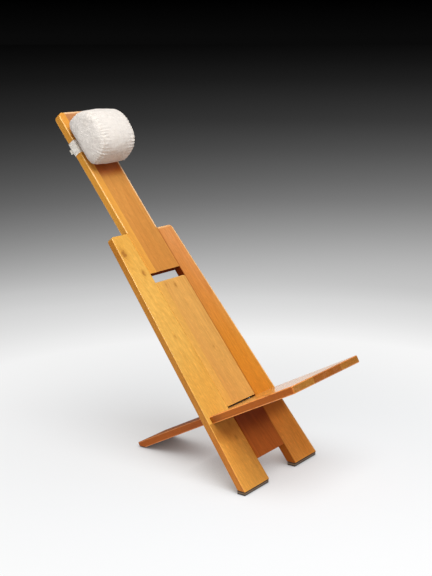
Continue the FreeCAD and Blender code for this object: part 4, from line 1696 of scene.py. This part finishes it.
@dataclass
class Studio:
    """The pale floor that darkens far away, the lamps and the camera.

    Attributes:
        floor_radius: how wide the floor is.
        near: up to where it is fully bright, counted from the pool's middle.
        contact: how far its shade reaches where the chair stands on it.
        eye: where the camera is, and aim what it looks at.
        right_hand: the camera's right along the floor, and backwards away from it.
        backdrop: the heights between which the backdrop darkens, and its brightness at each.
        glows: the floor's brightness for each closeness, which is 1 near the pool.
    """

    floor_radius: float = 160.0
    near: float = 1.3
    contact: float = 0.18
    pool: Vector = field(default_factory=lambda: Vector((0.12, -0.16, 0.0)))
    lens: float = 68.94
    film: float = 36.0
    eye: Vector = field(default_factory=lambda: Vector((-2.532, -1.893, 1.2305)))
    aim: Vector = field(default_factory=lambda: Vector((-0.3351, -0.3273, 0.6136)))
    pale: Colour = (0.795, 0.815, 0.835)
    right_hand: Vector = field(default_factory=lambda: Vector((0.58, -0.814, 0.0)))
    backwards: Vector = field(default_factory=lambda: Vector((0.814, 0.58, 0.0)))
    lamp_aim: Vector = field(default_factory=lambda: Vector((0.0, 0.0, 0.45)))
    air_strength: float = 0.31
    backdrop: tuple[float, ...] = (0.0, 0.03, 0.0030, 0.0003)
    glows: tuple[tuple[float, float], ...] = (
        (0.0, 0.0012),
        (0.0234, 0.0055),
        (0.045, 0.0112),
        (0.096, 0.033),
        (0.143, 0.068),
        (0.2, 0.120),
        (0.245, 0.168),
        (0.313, 0.262),
        (0.436, 0.435),
        (0.644, 0.715),
        (0.88, 0.90),
        (1.0, 0.97),
    )

    def build(self) -> None:
        """Makes the floor, the light and the camera."""
        self._floor()
        self._lamps()
        self._world()
        self._camera()

    def _floor(self) -> None:
        """A wide round floor: lit round the chair, and fading to black far behind it."""
        bm = bmesh.new()
        bmesh.ops.create_circle(bm, cap_ends=True, radius=self.floor_radius, segments=128)
        mesh = bpy.data.meshes.new("floor")
        bm.to_mesh(mesh)
        bm.free()
        graph = Graph.of("StudioFloor")
        offset = graph.vector("SUBTRACT", graph.place(), self.pool)
        far = graph.add("VectorMath", {0: offset}, "Value", operation="LENGTH")
        lit = graph.add("BsdfDiffuse", {"Color": self.pale})
        even = graph.add("Emission", {"Color": self._glow(graph, offset, far), "Strength": 1.0})
        even_share = 1.0 - graph.fade(far, 1.3, 0.35) * 0.45
        graph.node("OutputMaterial", {"Surface": graph.blend(even_share, lit, even)})
        floor = new_object("studio_floor", mesh)
        dress_in(floor, graph.owner)

    def _glow(self, graph: Graph, offset: Wire, far: Wire) -> Wire:
        """The floor's own brightness: less far away, to one side, and where the chair covers it."""
        closeness = graph.least(self.near / far, 1.0)
        ramp = graph.node("ValToRGB", {0: closeness})
        elements = ramp.color_ramp.elements
        while len(elements) < len(self.glows):
            elements.new(1.0)
        for element, (position, grey) in zip(elements, self.glows):
            element.position = position
            element.color = (grey, grey, grey, 1.0)
        sideways = graph.dot(offset, self.right_hand) / far
        behind = graph.dot(offset, self.backwards) / far
        lopsided = graph.most(0.55 - closeness, 0.0) * sideways * 2.5
        uneven = graph.fade(closeness, 0.35, 0.65) * (behind * 0.05 + 0.02 - sideways * 0.03)
        glow = graph.brightened(Wire(graph, ramp.outputs[0]), 1.0 + lopsided - uneven)
        # Painted contact shadow: the floor's glow darkened by ambient occlusion where the chair stands.
        open_air = graph.fade(graph.add("AmbientOcclusion", {"Distance": self.contact}, "AO", samples=12), 0.0, 0.92)
        return graph.brightened(glow, open_air * 0.92 + 0.08)

    def _lamps(self) -> None:
        """One wide softbox high in front of the chair, and a weak, lower one at the sitter's right."""
        for name, spot, size, power in (
            ("softbox", Vector((-0.85, -1.1, 3.6)), 2.8, 118.0),
            ("fill", Vector((-3.0, -1.5, 1.4)), 2.0, 22.0),
        ):
            lamp = bpy.data.lights.new(name, "AREA")
            lamp.shape = "DISK"
            lamp.size = size
            lamp.energy = power
            self._aimed(name, lamp, spot, self.lamp_aim)

    def _world(self) -> None:
        """Even light from all round, behind a dark backdrop that only the eye and reflections see."""
        world = bpy.data.worlds.new("studio_air")
        graph = Graph(world)
        seen = graph.most(*(graph.add("LightPath", None, f"Is {ray} Ray") for ray in ("Camera", "Glossy")))
        _, _, height = graph.split(graph.add("TexCoord", None, "Generated"))
        fall = graph.add("MapRange", {0: height, **dict(enumerate(self.backdrop, 1))})
        light = graph.add("Background", {"Color": WHITE, "Strength": self.air_strength})
        dark = graph.add("Background", {"Color": WHITE, "Strength": fall})
        graph.node("OutputWorld", {"Surface": graph.blend(seen, light, dark)})
        bpy.context.scene.world = world

    def _camera(self) -> None:
        """The camera at the photograph's angle."""
        camera = bpy.data.cameras.new("camera")
        camera.lens = self.lens
        camera.sensor_width = self.film
        camera.clip_end = 400.0
        bpy.context.scene.camera = self._aimed("camera", camera, self.eye, self.aim)
        bpy.context.scene.view_settings.view_transform = "Standard"

    @staticmethod
    def _aimed(name: str, data: bpy.types.ID, spot: Vector, target: Vector) -> Object:
        """Puts a lamp or a camera at a spot, turned towards a target."""
        made = bpy.data.objects.new(name, data)
        made.location = spot
        made.rotation_euler = (target - spot).to_track_quat("-Z", "Y").to_euler()
        bpy.context.scene.collection.objects.link(made)
        return made


def main() -> None:
    """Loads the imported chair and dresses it, piece by piece."""
    logging.basicConfig(level=logging.INFO, format="%(name)s: %(message)s")
    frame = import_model()
    nodes = frame["nodes"]
    chair = Chair()
    Boards(chair).dress(nodes)
    HiddenDowels().dress(nodes)
    FloorPads().dress(nodes)
    Bolster(chair).dress()
    Strap(chair).dress()
    Studio().build()
    bpy.context.view_layer.update()


if __name__ == "__main__":
    main()
